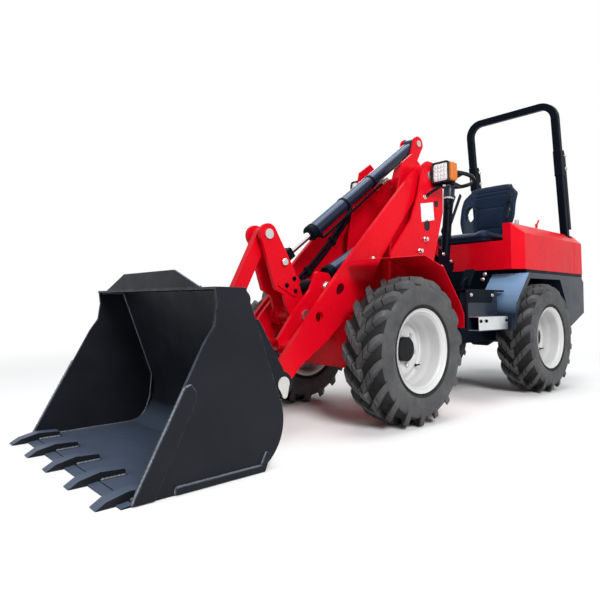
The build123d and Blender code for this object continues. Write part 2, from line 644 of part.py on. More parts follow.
def rear_frame():
    """Side plates, cross plates and hinge lugs of the rear chassis, welded together."""
    x = (REAR_TAIL_X, REAR_PLATE_X)
    w = REAR_HALF_W
    weld = block(x, (w - PLATE_T, w), REAR_Z) + block(x, (-w, PLATE_T - w), REAR_Z)
    weld += block((x[1] - 20, x[1]), (-w, w), (REAR_Z[0], FLOOR_Z))
    weld += block((x[0], x[0] + 20), (-w, w), REAR_Z)
    weld += block(x, (-w, w), (REAR_Z[0], REAR_Z[0] + PLATE_T))
    lug = disc((0, 0), LUG_R) + outline((0, LUG_R), (x[1] - 10, LUG_R + 40), (x[1] - 10, -LUG_R - 40), (0, -LUG_R))
    weld += slab(lug, UPPER_LUG_Z, UPPER_LUG_Z + LUG_T) + slab(lug, LOWER_LUG_Z, LOWER_LUG_Z + LUG_T)
    weld -= block((x[1] - 30, x[1] + 10), (STEER_BASE[1] - 55, STEER_BASE[1] + 55), (STEER_Z - 60, STEER_Z + 60))
    ear_y = (PLATE_T - w, STEER_BASE[1] + 40)
    ear_x = (STEER_BASE[0] - 40, STEER_BASE[0] + 40)
    ear_z = STEER_EYE_HALF_W + SLACK
    weld += block(ear_x, ear_y, (STEER_Z + ear_z, STEER_Z + ear_z + PLATE_T))
    weld += block(ear_x, ear_y, (STEER_Z - ear_z - PLATE_T, STEER_Z - ear_z))
    weld -= Pos(STEER_BASE[0], STEER_BASE[1], STEER_Z) * Cylinder(STEER_PIN_SMALL_R, 120)
    weld -= pin((-AXLE_X, WHEEL_R), AXLE_R + RUN, -400, 400)
    weld -= pin((-AXLE_X, WHEEL_R), DIFF_R + 1, -DIFF_W / 2 - 21, DIFF_W / 2 + 21)
    weld -= Cylinder(STEER_PIN_R, 2000)
    return weld


def steer_pins():
    """The main hinge pin and the base pin of the steering cylinder."""
    low = LOWER_LUG_Z - LUG_T - 12
    high = UPPER_LUG_Z + 2 * LUG_T + 12
    main = slab(Circle(STEER_PIN_R), low, high)
    base = Pos(STEER_BASE[0], STEER_BASE[1], STEER_Z) * Cylinder(STEER_PIN_SMALL_R, 2 * (STEER_EYE_HALF_W + SLACK + PLATE_T + 6))
    return [main, base]


def engine_block():
    """Plain block of the engine between the side plates, under the hood."""
    half = REAR_HALF_W - PLATE_T
    return block(ENGINE_X, (-half, half), ENGINE_Z)


def counterweight():
    """Cast weight across the tail with a wing behind each rear wheel and the pocket for the tow pin."""
    front = REAR_TAIL_X
    wing = outline((-1140, WEIGHT_TOP), (TAIL_X + 40, WEIGHT_TOP), (TAIL_X, 815), (TAIL_X + 10, 557), (-1290, 430), (-1255, 660))
    body = both_sides(wing, 330, WEIGHT_HALF_W)
    body += block((TAIL_X + 10, front), (-340, 340), (470, WEIGHT_TOP))
    half = TOW_JAW_HALF_W
    depth = (TAIL_X - 10, TAIL_X + TOW_JAW_DEPTH)
    body -= block(depth, (-half, half), (TOW_JAW_Z[0] + TOW_LIP_T, TOW_JAW_Z[1] - TOW_LIP_T))
    body -= block(depth, (-half, half), (TOW_JAW_Z[1], WEIGHT_TOP))
    body -= block(depth, (-half, half), (0, TOW_JAW_Z[0]))
    return body - Pos(TAIL_X + TOW_PIN_INSET, 0, 600) * Cylinder(TOW_PIN_R, 600)


def floor_plate():
    """Footwell floor, narrowed behind where it runs between the mudguards to the tank."""
    wide = block(FLOOR_X, (-FLOOR_HALF_W, FLOOR_HALF_W), (FLOOR_Z, FLOOR_Z + FLOOR_T))
    return wide + block((TANK_X[1], FLOOR_X[0]), (-TANK_HALF_W, TANK_HALF_W), (FLOOR_Z, FLOOR_Z + FLOOR_T))


def side_steps():
    """Step box under each side of the floor."""
    shapes = []
    for side in (1, -1):
        ys = sorted((side * (FLOOR_HALF_W - 15), side * FLOOR_HALF_W))
        riser = block(STEP_X, ys, (STEP_Z[0], FLOOR_Z))
        tray = sorted((side * FLOOR_HALF_W, side * STEP_OUT_Y))
        riser += block(STEP_X, tray, (STEP_Z[0], STEP_Z[0] + 6))
        inner = sorted((side * REAR_HALF_W, side * FLOOR_HALF_W))
        riser += block((STEP_X[0], REAR_PLATE_X), inner, (STEP_Z[0], STEP_Z[0] + 6))
        shapes.append(riser)
    return shapes


def step_plates():
    shapes = []
    for side in (1, -1):
        lip = sorted((side * (STEP_OUT_Y - 6), side * STEP_OUT_Y))
        top = sorted((side * FLOOR_HALF_W, side * STEP_OUT_Y))
        shapes.append(block(STEP_X, lip, (STEP_Z[0] + 6, STEP_Z[1])) + block(STEP_X, top, (STEP_Z[1], STEP_Z[1] + 4)))
    return shapes


def rear_mudguards():
    """Folded sheet in front of and over each rear wheel."""
    line = [(-351, 458), (-379, 647), (-579, 853), (-1130, 853)]
    inner = [(-357, 458), (-385, 644), (-581, 847), (-1130, 847)]
    return both_sides(outline(*line, *reversed(inner)), REAR_HALF_W, GUARD_HALF_W)


def cover(x0, x1, grow=0.0, front_corner=0.0):
    """Hood outside as a solid between two X values; a negative grow gives its hollow."""
    w = HOOD_HALF_W + grow
    top = HOOD_Z[1] + grow
    chamfer = HOOD_SHOULDER
    section = outline((-w, HOOD_Z[0]), (w, HOOD_Z[0]), (w, top - chamfer), (w - chamfer, top),
                      (chamfer - w, top), (-w, top - chamfer))
    body = extrude(Plane.YZ.offset(x0) * section, amount=x1 - x0, dir=(1, 0, 0))
    c = front_corner
    plan = outline((x0, -w), (x0, w), (x1 - c, w), (x1, w - c), (x1, c - w), (x1 - c, -w)) if c else None
    return body & slab(plan, HOOD_Z[0], top) if c else body


def hood():
    """Engine cover with the seat's recess in its front top, open below and behind."""
    x0, x1 = HOOD_X
    low = HOOD_Z[0]
    deck = (SEAT_RECESS_X, x1)
    half = SEAT_RECESS_HALF_W
    outside = cover(x0, x1, 0.0, HOOD_CORNER) - block(deck, (-half, half), (SEAT_Z, HOOD_Z[1]))
    hollow = cover(x0, x1 - HOOD_T, -HOOD_T, HOOD_CORNER)
    rim_half = half + HOOD_T
    keep = block((deck[0] - HOOD_T, deck[1]), (-rim_half, rim_half), (SEAT_Z - HOOD_T, HOOD_Z[1]))
    return outside - (hollow - keep) - block((x0, x1 - HOOD_T), (-HOOD_HALF_W + HOOD_T, HOOD_HALF_W - HOOD_T), (low - 1, low + 1))


def tail_cover():
    """Fixed red panel behind the hood, cut for the roll bar's posts, with a bay over the tow pin."""
    x0, x1 = TAIL_COVER_X, HOOD_X[0] - 3
    body = cover(x0, x1) - cover(x0 + HOOD_T, x1, -HOOD_T)
    body -= block((x0 + HOOD_T, x1), (-HOOD_HALF_W + HOOD_T, HOOD_HALF_W - HOOD_T), (HOOD_Z[0] - 1, HOOD_Z[0] + 1))
    bay = TOW_BAY_HALF_W
    body += block((x0, TOW_BAY_X + HOOD_T), (-bay - HOOD_T, bay + HOOD_T), HOOD_Z)
    body -= block((x0, TOW_BAY_X), (-bay, bay), HOOD_Z)
    out_y = ROPS_HALF_W + 12
    return body - both_sides(outline((-1585, 800), (-1400, 800), (-1400, 1400), (-1555, 1400)), out_y - ROPS_TUBE - 24, out_y)


def tank_box():
    """Dark box between floor and hood, under the seat."""
    return block(TANK_X, (-TANK_HALF_W, TANK_HALF_W), (FLOOR_Z, HOOD_Z[0]))


def hood_frame():
    """Low frame on mudguards and counterweight that the hood and the tail cover rest on."""
    x0, x1 = TAIL_COVER_X + SEAL_INSET, TANK_X[0]
    out_y = HOOD_HALF_W - SEAL_INSET
    in_y = out_y - SEAL_W
    ring = block((x0, x1), (-out_y, out_y), (WEIGHT_TOP, HOOD_Z[0]))
    ring -= block((x0 + SEAL_W, x1 - SEAL_W), (-in_y, in_y), (WEIGHT_TOP, HOOD_Z[0]))
    return ring - block((x0, x0 + SEAL_W), (-TOW_BAY_HALF_W, TOW_BAY_HALF_W), (WEIGHT_TOP, HOOD_Z[0]))


def seat_cushion():
    body = block((-905, -470), (-SEAT_HALF_W, SEAT_HALF_W), (SEAT_Z, SEAT_Z + 105))
    return fillet(body.edges().filter_by(Axis.Z), 60)


def seat_back():
    foot = SEAT_Z
    side = outline((-906, foot), (-906, SEAT_Z + 110), (-975, 1640), (-1060, 1640), (-955, SEAT_Z + 110), (-955, foot))
    return prism(side, -SEAT_HALF_W, SEAT_HALF_W)


def rops_line(length, y):
    """A point at a length up the leaning post."""
    a = radians(ROPS_LEAN)
    return (ROPS_FOOT_X + length * sin(a), y, WEIGHT_TOP + length * cos(a))


def square_bar(start, end):
    way = Vector(*end) - Vector(*start)
    plane = Plane(origin=start, x_dir=(0, 1, 0), z_dir=way)
    return extrude(plane * RectangleRounded(ROPS_TUBE, ROPS_TUBE, 10), amount=way.length)


def rops_posts():
    """Lower posts with their foot plates and the fold hinge's brackets."""
    shapes = []
    mid = ROPS_HALF_W - ROPS_TUBE / 2
    for side in (1, -1):
        post = square_bar(rops_line(0, side * mid), rops_line(ROPS_FOLD_L, side * mid))
        shapes.append(post & block((-2000, 0), (-600, 600), (WEIGHT_TOP, 3000)))
    return shapes


def rops_hoop():
    """Upper hoop: two legs and the top bar with bent corners."""
    mid = ROPS_HALF_W - ROPS_TUBE / 2
    tilt = Plane(origin=rops_line(ROPS_FOLD_L, 0), x_dir=(0, 1, 0), z_dir=(cos(radians(ROPS_LEAN)), 0, -sin(radians(ROPS_LEAN))))
    reach = ROPS_TOP_L - ROPS_FOLD_L - ROPS_TUBE / 2
    path = FilletPolyline((-mid, 0), (-mid, reach), (mid, reach), (mid, 0), radius=120)
    path = tilt * path
    start = Plane(origin=path @ 0, x_dir=tilt.z_dir, z_dir=path % 0)
    return sweep(start * RectangleRounded(ROPS_TUBE, ROPS_TUBE, 10), path=path)


def steering_column():
    post = rod((*COLUMN_FOOT[:1], 0, COLUMN_FOOT[1] - 30), at_y(COLUMN_TOP, 0), COLUMN_R)
    return post - block((-600, 0), (-200, 200), (0, FLOOR_Z + FLOOR_T))


def steering_wheel():
    """Rim, hub and three spokes, square to the column."""
    axis = (Vector(*at_y(COLUMN_TOP, 0)) - Vector(COLUMN_FOOT[0], 0, COLUMN_FOOT[1] - 30)).normalized()
    plane = Plane(origin=Vector(*at_y(COLUMN_TOP, 0)) + axis * WHEEL_LIFT, x_dir=(0, 1, 0), z_dir=axis)
    ring = plane * Torus(STEER_WHEEL_R, STEER_WHEEL_GRIP_R)
    ring += plane * Pos(0, 0, -WHEEL_LIFT / 2) * Cylinder(42, WHEEL_LIFT)
    for angle in (90, 210, 330):
        ring += plane * Rot(0, 0, angle) * Pos(STEER_WHEEL_R / 2 + 8, 0, -8) * Box(STEER_WHEEL_R - 16, 30, 12)
    return ring


NODES = {
    "front_axle": (axle, (AXLE_X, 0, WHEEL_R)),
    "rear_axle": (axle, (-AXLE_X, 0, WHEEL_R)),
    "front_frame": (front_frame, None),
    "boom_pivot_pins": (boom_pivot_pins, None),
    "cylinder_base_pins": (cylinder_base_pins, None),
    "front_fenders": (front_fenders, None),
    "headlamps": (headlamps, None),
    "boom": (boom, None),
    "bellcrank": (bellcrank, None),
    "bellcrank_pin": (bellcrank_pin, None),
    "tilt_link": (link, None),
    "link_pin": (link_pin, None),
    "bucket_pins": (bucket_pins, None),
    "bucket_shell": (bucket_shell, None),
    "cutting_edge": (cutting_edge, None),
    "bucket_teeth": (bucket_teeth, None),
    "spill_guard": (spill_guard, None),
    "tilt_barrel": (tilt_barrel, None),
    "tilt_rod": (tilt_rod, None),
    "lift_barrel": (lift_barrel, None),
    "lift_rod": (lift_rod, None),
    "steer_barrel": (steer_barrel, None),
    "steer_rod": (steer_rod, None),
    "rear_frame": (rear_frame, None),
    "steer_pins": (steer_pins, None),
    "engine_block": (engine_block, None),
    "counterweight": (counterweight, None),
    "floor_plate": (floor_plate, None),
    "side_steps": (side_steps, None),
    "step_plates": (step_plates, None),
    "rear_mudguards": (rear_mudguards, None),
    "hood": (hood, None),
    "tail_cover": (tail_cover, None),
    "tank_box": (tank_box, None),
    "hood_frame": (hood_frame, None),
    "seat_cushion": (seat_cushion, None),
    "seat_back": (seat_back, None),
    "rops_posts": (rops_posts, None),
    "rops_hoop": (rops_hoop, None),
    "steering_column": (steering_column, None),
    "steering_wheel": (steering_wheel, None),
}
WHEELS = [("front_left", 1, 1), ("front_right", 1, -1), ("rear_left", -1, 1), ("rear_right", -1, -1)]
for corner, end, side in WHEELS:
    place = (end * AXLE_X, side * WHEEL_Y, WHEEL_R)
    NODES["tyre_" + corner] = (tyre, place)
    NODES["rim_" + corner] = (rim if side > 0 else (lambda: mirror(rim(), Plane.XZ)), place)

os.makedirs("parts", exist_ok=True)
for name, (make, place) in NODES.items():
    made = make()
    solids = made if isinstance(made, list) else [made]
    solids = [solid for shape in solids for solid in shape.solids()]
    moved = [Pos(-ORIGIN_X, 0, 0) * Pos(*(place or (0, 0, 0))) * solid for solid in solids]
    export_step(moved[0] if len(moved) == 1 else Compound(moved), f"parts/{name}.step")
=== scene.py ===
"""Looks of the mini wheel loader: finishes for the CAD nodes, and the pieces that only the eye needs."""
import random
from math import cos, pi, radians, sin

import bmesh
import bpy
from mathutils import Matrix, Vector


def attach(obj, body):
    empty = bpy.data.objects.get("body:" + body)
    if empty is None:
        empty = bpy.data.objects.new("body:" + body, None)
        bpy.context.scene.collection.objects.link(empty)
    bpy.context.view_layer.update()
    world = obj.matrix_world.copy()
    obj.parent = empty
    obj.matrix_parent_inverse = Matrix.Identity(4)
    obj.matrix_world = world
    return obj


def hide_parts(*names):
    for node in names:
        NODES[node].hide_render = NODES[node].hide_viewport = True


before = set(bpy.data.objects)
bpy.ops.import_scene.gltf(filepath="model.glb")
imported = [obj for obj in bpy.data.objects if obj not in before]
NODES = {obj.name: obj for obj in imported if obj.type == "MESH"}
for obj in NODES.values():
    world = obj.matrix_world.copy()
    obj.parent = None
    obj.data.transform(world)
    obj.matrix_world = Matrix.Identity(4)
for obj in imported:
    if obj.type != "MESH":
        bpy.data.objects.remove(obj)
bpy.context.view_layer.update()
ORIGIN_X = 397.5     # millimetres from the steering pivot to the row's origin


def place(x, y, z):
    """A point given as the part's source gives it, in millimetres from the steering pivot."""
    return Vector(((x - ORIGIN_X) / 1000, y / 1000, z / 1000))


# Materials

def new_material(name):
    mat = bpy.data.materials.new(name)
    mat.use_nodes = True
    return mat, mat.node_tree, mat.node_tree.nodes["Principled BSDF"]


def add(tree, kind, **values):
    node = tree.nodes.new(kind)
    for key, value in values.items():
        if key in node.inputs:
            node.inputs[key].default_value = value
        else:
            setattr(node, key, value)
    return node


def noise_node(tree, scale, detail=4.0, rough=0.55, stretch=None):
    """Noise in the object's own space, so that it moves with the piece."""
    coord = add(tree, "ShaderNodeTexCoord")
    out = coord.outputs["Object"]
    if stretch:
        mapping = add(tree, "ShaderNodeMapping")
        mapping.inputs["Scale"].default_value = stretch
        tree.links.new(out, mapping.inputs["Vector"])
        out = mapping.outputs["Vector"]
    tex = add(tree, "ShaderNodeTexNoise", Scale=scale, Detail=detail, Roughness=rough)
    tree.links.new(out, tex.inputs["Vector"])
    return tex.outputs["Fac"]


def ramp(tree, fac, *stops):
    """Colour ramp; each stop is (position, colour or grey)."""
    node = add(tree, "ShaderNodeValToRGB")
    elements = node.color_ramp.elements
    while len(elements) < len(stops):
        elements.new(0.5)
    for element, (position, colour) in zip(elements, stops):
        element.position = position
        element.color = (*colour, 1) if hasattr(colour, "__len__") else (colour, colour, colour, 1)
    tree.links.new(fac, node.inputs["Fac"])
    return node.outputs["Color"]


def mix(tree, fac, a, b, mode="MIX"):
    """Mix of two colours; each is a socket or a colour, fac a socket or a number."""
    node = add(tree, "ShaderNodeMix", data_type="RGBA", blend_type=mode)
    for value, socket in ((fac, node.inputs[0]), (a, node.inputs[6]), (b, node.inputs[7])):
        if isinstance(value, bpy.types.NodeSocket):
            tree.links.new(value, socket)
        elif hasattr(value, "__len__"):
            socket.default_value = (*value, 1)
        else:
            socket.default_value = value
    return node.outputs[2]


def bump(tree, bsdf, fac, strength, distance=0.001):
    node = add(tree, "ShaderNodeBump", Strength=strength, Distance=distance)
    tree.links.new(fac, node.inputs["Height"])
    last = bsdf.inputs["Normal"].links
    if last:
        tree.links.new(last[0].from_socket, node.inputs["Normal"])
    tree.links.new(node.outputs["Normal"], bsdf.inputs["Normal"])


def edge_mask(tree, radius=0.004):
    """White along sharp outer and inner edges."""
    bevel = add(tree, "ShaderNodeBevel", Radius=radius)
    geometry = add(tree, "ShaderNodeNewGeometry")
    dot = add(tree, "ShaderNodeVectorMath", operation="DOT_PRODUCT")
    tree.links.new(bevel.outputs["Normal"], dot.inputs[0])
    tree.links.new(geometry.outputs["Normal"], dot.inputs[1])
    return ramp(tree, dot.outputs["Value"], (0.80, 1.0), (0.985, 0.0))


def paint(name, colour, rough=0.3, coat=0.5, shade=0.82, painted_sky_reflection=None, wear=None, peel=0.04, blotch=3.0,
          sheen=0.5):
    """Paint on metal: slow colour change, orange peel, worn edges, and a painted sky reflection, paler and
    bluer, on faces that look up.
    """
    mat, tree, bsdf = new_material(name)
    slow = noise_node(tree, blotch, 5)
    dark = tuple(c * shade for c in colour)
    base = mix(tree, ramp(tree, slow, (0.3, 0.0), (0.7, 1.0)), dark, colour)
    grain = noise_node(tree, 60, 6)
    pale = tuple(min(1, c * 1.25 + 0.01) for c in colour)
    base = mix(tree, ramp(tree, grain, (0.62, 0.0), (0.8, 0.25)), base, pale)
    # Painted sky reflection: faces that look up are mixed toward a paler, bluer colour.
    if painted_sky_reflection:
        geometry = add(tree, "ShaderNodeNewGeometry")
        split = add(tree, "ShaderNodeSeparateXYZ")
        tree.links.new(geometry.outputs["Normal"], split.inputs["Vector"])
        base = mix(tree, ramp(tree, split.outputs["Z"], (0.35, 0.0), (0.75, 1.0)), base, painted_sky_reflection)
    if wear:
        scrape = ramp(tree, noise_node(tree, 35, 8, 0.7), (0.42, 0.0), (0.6, 1.0))
        mask = mix(tree, 1.0, edge_mask(tree), scrape, "MULTIPLY")
        base = mix(tree, mask, base, wear)
    tree.links.new(base, bsdf.inputs["Base Color"])
    gloss = ramp(tree, noise_node(tree, 9, 6), (0.3, rough * 0.8), (0.75, min(1, rough * 1.35)))
    tree.links.new(gloss, bsdf.inputs["Roughness"])
    bsdf.inputs["Specular IOR Level"].default_value = sheen
    bsdf.inputs["Coat Weight"].default_value = coat
    bsdf.inputs["Coat Roughness"].default_value = rough * 0.35
    bump(tree, bsdf, noise_node(tree, 420, 3), peel, 0.0006)
    return mat


def metal(name, colour, rough=0.25, brushed=None, metallic=1.0, grime=0.25):
    """Bare or plated metal, with fine lines along one axis if brushed."""
    mat, tree, bsdf = new_material(name)
    stain = ramp(tree, noise_node(tree, 18, 6), (0.45, 0.0), (0.8, grime))
    tree.links.new(mix(tree, stain, colour, tuple(c * 0.45 for c in colour)), bsdf.inputs["Base Color"])
    bsdf.inputs["Metallic"].default_value = metallic
    fine = noise_node(tree, 200, 3, 0.6, brushed)
    tree.links.new(ramp(tree, fine, (0.3, rough * 0.7), (0.7, rough * 1.4)), bsdf.inputs["Roughness"])
    bump(tree, bsdf, fine, 0.08, 0.0004)
    return mat


def rubber(name, colour, rough=0.7, dust=0.3):
    """Tyre rubber: dusty in patches, finely pitted."""
    mat, tree, bsdf = new_material(name)
    bsdf.inputs["Specular IOR Level"].default_value = 0.3
    patch = ramp(tree, noise_node(tree, 7, 8, 0.65), (0.35, 0.0), (0.75, dust))
    base = mix(tree, patch, colour, (0.14, 0.14, 0.14))
    tree.links.new(base, bsdf.inputs["Base Color"])
    gloss = ramp(tree, noise_node(tree, 25, 5), (0.3, rough * 0.8), (0.75, min(1.0, rough * 1.2)))
    tree.links.new(gloss, bsdf.inputs["Roughness"])
    bump(tree, bsdf, noise_node(tree, 350, 5), 0.25, 0.0008)
    return mat


def vinyl(name, colour):
    """Dark seat vinyl with a pebble grain; its blue is partly its own colour and partly painted sky
    reflection.
    """
    mat, tree, bsdf = new_material(name)
    bsdf.inputs["Specular IOR Level"].default_value = 0.06
    coord = add(tree, "ShaderNodeTexCoord")
    cells = add(tree, "ShaderNodeTexVoronoi", Scale=330.0)
    tree.links.new(coord.outputs["Object"], cells.inputs["Vector"])
    soft = ramp(tree, noise_node(tree, 6, 4), (0.3, 0.0), (0.8, 0.6))
    tree.links.new(mix(tree, soft, colour, tuple(c * 1.7 for c in colour)), bsdf.inputs["Base Color"])
    tree.links.new(ramp(tree, noise_node(tree, 20, 4), (0.3, 0.32), (0.7, 0.48)), bsdf.inputs["Roughness"])
    bump(tree, bsdf, cells.outputs["Distance"], 0.18, 0.0008)
    return mat


def plastic(name, colour, rough=0.4, fine=0.1, sheen=0.5):
    """Moulded plastic or a lens, with a fine grain."""
    mat, tree, bsdf = new_material(name)
    bsdf.inputs["Specular IOR Level"].default_value = sheen
    tone = ramp(tree, noise_node(tree, 12, 4), (0.3, 0.0), (0.8, 1.0))
    tree.links.new(mix(tree, tone, tuple(c * 0.85 for c in colour), colour), bsdf.inputs["Base Color"])
    bsdf.inputs["Roughness"].default_value = rough
    bump(tree, bsdf, noise_node(tree, 500, 3), fine, 0.0005)
    return mat


RED = paint("red_paint", (0.66, 0.002, 0.012), rough=0.28, coat=0.04, shade=0.84, peel=0.03, sheen=0.09)
CHARCOAL = paint("charcoal_paint", (0.011, 0.0125, 0.017), rough=0.42, coat=0.0, shade=0.7,
                 painted_sky_reflection=(0.062, 0.083, 0.125), wear=(0.14, 0.15, 0.17), peel=0.08, blotch=5, sheen=0.12)
SLATE = paint("slate_paint", (0.010, 0.016, 0.030), rough=0.3, coat=0.1, shade=0.8,
              painted_sky_reflection=(0.24, 0.40, 0.63), peel=0.04, sheen=0.2)
# The blue in this black is painted sky reflection.
BLACK = paint("black_paint", (0.002, 0.004, 0.009), rough=0.34, coat=0.0, shade=0.8, peel=0.05, sheen=0.04)
# The barrels' blue is partly their own dark blue and partly painted sky reflection.
NAVY_AND_PAINTED_SKY = paint("barrel_paint", (0.007, 0.014, 0.032), rough=0.2, coat=0.08, shade=0.85,
             painted_sky_reflection=(0.035, 0.07, 0.14), peel=0.02, sheen=0.2)
RIM = paint("rim_paint", (0.58, 0.58, 0.575), rough=0.38, coat=0.2, shade=0.9, peel=0.05)
CHROME = metal("chrome", (0.8, 0.81, 0.83), rough=0.1, grime=0.1)
STEEL = metal("pin_steel", (0.62, 0.62, 0.6), rough=0.32)
ZINC = metal("zinc", (0.72, 0.71, 0.66), rough=0.28)
CAST = paint("casting", (0.010, 0.0105, 0.012), rough=0.5, coat=0.0, shade=0.7, peel=0.2, sheen=0.12)
BRIGHT = metal("bright_plate", (0.74, 0.76, 0.78), rough=0.3, brushed=(1, 12, 12))
TYRE = rubber("tyre_rubber", (0.038, 0.0385, 0.041), rough=0.62, dust=0.5)
# Darker rubber: painted shade on the carcass between the lugs, and a darker band next to the rim.
GROOVE_SHADE_RUBBER = rubber("tyre_groove_shade", (0.008, 0.008, 0.009), rough=0.8, dust=0.1)
# The seat's blue tint is partly painted sky reflection.
VINYL = vinyl("seat_vinyl", (0.006, 0.013, 0.028))
DARK_PLASTIC = plastic("dark_plastic", (0.006, 0.007, 0.010), rough=0.42, sheen=0.2)
WELD = metal("weld", (0.14, 0.15, 0.175), rough=0.45, metallic=0.4, grime=1.0)
# Dark red for the arm's cut-outs: painted shade inside holes that are not cut.
HOLE_SHADE_RED = paint("hole_shade_red", (0.055, 0.001, 0.003), rough=0.5, coat=0.0, sheen=0.05)
GREY_PLASTIC = plastic("grey_plastic", (0.5, 0.5, 0.52), rough=0.45)
WHITE_PLATE = plastic("white_plate", (0.85, 0.85, 0.84), rough=0.4)

FINISH = {
    RED: "front_frame boom bellcrank tilt_link front_fenders hood tail_cover",
    CHARCOAL: "bucket_shell cutting_edge bucket_teeth spill_guard",
    SLATE: "rear_frame counterweight rear_mudguards side_steps",
    # hood_frame is black both as a seal and as painted shade in the gap under the hood.
    BLACK: "hood_frame tank_box rops_posts rops_hoop steering_column floor_plate headlamps",
    NAVY_AND_PAINTED_SKY: "tilt_barrel lift_barrel steer_barrel",
    CHROME: "tilt_rod lift_rod steer_rod",
    STEEL: "boom_pivot_pins cylinder_base_pins bellcrank_pin link_pin bucket_pins steer_pins",
    CAST: "front_axle rear_axle engine_block",
    BRIGHT: "step_plates",
    VINYL: "seat_cushion seat_back",
    DARK_PLASTIC: "steering_wheel",
    TYRE: "tyre_front_left tyre_front_right tyre_rear_left tyre_rear_right",
    RIM: "rim_front_left rim_front_right rim_rear_left rim_rear_right",
}


def soften(obj, width=0.002, segments=2):
    """Rounds the edges of a CAD node for the eye; its own mesh stays as it is."""
    weld = obj.modifiers.new("weld", "WELD")
    weld.merge_threshold = 1e-5
    bevel = obj.modifiers.new("bevel", "BEVEL")
    bevel.width = width
    bevel.segments = segments
    bevel.limit_method = "ANGLE"
    bevel.angle_limit = radians(38)
    bevel.use_clamp_overlap = True
    obj.modifiers.new("normals", "WEIGHTED_NORMAL").keep_sharp = True


for material, names in FINISH.items():
    for node in names.split():
        data = NODES[node].data
        data.materials.clear()
        data.materials.append(material)
        for polygon in data.polygons:
            polygon.use_smooth = True
        soften(NODES[node])


# Mesh helpers

def link_mesh(name, bm, material, body, smooth=True):
    """Turns a bmesh into a piece that rides on a body."""
    data = bpy.data.meshes.new(name)
    bmesh.ops.recalc_face_normals(bm, faces=bm.faces[:])
    bm.to_mesh(data)
    bm.free()
    data.materials.append(material)
    for polygon in data.polygons:
        polygon.use_smooth = smooth
    obj = bpy.data.objects.new(name, data)
    bpy.context.scene.collection.objects.link(obj)
    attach(obj, body)
    return obj


def sharpen(obj, angle=35, width=0.0015, segments=2):
    """Small rounded edges with flat faces between them."""
    bevel = obj.modifiers.new("bevel", "BEVEL")
    bevel.width = width
    bevel.segments = segments
    bevel.limit_method = "ANGLE"
    bevel.angle_limit = radians(angle)
    obj.modifiers.new("normals", "WEIGHTED_NORMAL").keep_sharp = True
    return obj


def lathe(profile, segments, bm=None):
    """Revolves (radius, y) points about the Y axis into closed rings of quads."""
    bm = bm or bmesh.new()
    rings = []
    for i in range(segments):
        a = 2 * pi * i / segments
        rings.append([bm.verts.new((r * sin(a), y, r * cos(a))) for r, y in profile])
    for i in range(segments):
        one, two = rings[i], rings[(i + 1) % segments]
        for j in range(len(profile) - 1):
            bm.faces.new((one[j], two[j], two[j + 1], one[j + 1]))
    return bm


def curve_points(points, steps):
    """Catmull-Rom points through a run of 2-D points."""
    out = []
    last = len(points) - 1
    for i in range(last):
        p = [Vector(points[max(0, min(last, i + k))]) for k in (-1, 0, 1, 2)]
        for s in range(steps):
            t = s / steps
            out.append(0.5 * ((2 * p[1]) + (p[2] - p[0]) * t + (2 * p[0] - 5 * p[1] + 4 * p[2] - p[3]) * t * t
                              + (3 * p[1] - p[0] - 3 * p[2] + p[3]) * t ** 3))
    out.append(Vector(points[-1]))
    return out


def turn_to(axis):
    return Vector((0, 0, 1)).rotation_difference(Vector(axis)).to_matrix().to_4x4()


def add_disc(bm, centre, axis, radius, height, sides=24, top=None):
    """A short cylinder or cone frustum standing on centre along axis."""
    at = Matrix.Translation(centre) @ turn_to(axis) @ Matrix.Translation((0, 0, height / 2))
    end = radius if top is None else top
    bmesh.ops.create_cone(bm, cap_ends=True, segments=sides, radius1=radius, radius2=end, depth=height,
                          matrix=at)


def add_bolt(bm, centre, axis, size):
    """Hexagon head on a washer; size is the thread's diameter."""
    way = Vector(axis).normalized()
    add_disc(bm, centre, axis, size * 1.05, size * 0.16, 24)
    top = Vector(centre) + way * size * 0.16
    add_disc(bm, top, axis, size * 0.9, size * 0.55, 6)
    add_disc(bm, top + way * size * 0.55, axis, size * 0.72, size * 0.08, 18, size * 0.6)


def bolts(name, table, body, material=ZINC):
    """One piece of bolts from rows of (centre, axis, size)."""
    bm = bmesh.new()
    for centre, axis, size in table:
        add_bolt(bm, centre, axis, size)
    return sharpen(link_mesh(name, bm, material, body, smooth=False), 30, 0.0006, 1)


def skin(bm, loops, ring=False):
    """Joins loops of points into a closed form, with flat ends or run round into a ring."""
    rings = [[bm.verts.new(p) for p in loop] for loop in loops]
    pairs = list(zip(rings, rings[1:]))
    if ring:
        pairs.append((rings[-1], rings[0]))
    for one, two in pairs:
        for k in range(len(one)):
            n = (k + 1) % len(one)
            bm.faces.new((one[k], one[n], two[n], two[k]))
    if not ring:
        bm.faces.new(rings[0][::-1])
        bm.faces.new(rings[-1])


def plate(bm, outline, low_y, high_y):
    """A flat plate across the machine with a side-view outline of (x, z), in millimetres."""
    skin(bm, [[place(x, y, z) for x, z in outline] for y in (low_y, high_y)])


def turned(bm, origin, axis, profile, sides=32, ring=False):
    """Turns a run of (distance along the axis, radius), in millimetres, about an axis."""
    at = Matrix.Translation(place(*origin)) @ turn_to(axis)
    loops = []
    turns = [2 * pi * k / sides for k in range(sides)]
    for up, radius in profile:
        spots = [Vector((radius * cos(a), radius * sin(a), up)) for a in turns]
        loops.append([at @ (spot / 1000) for spot in spots])
    skin(bm, loops, ring)


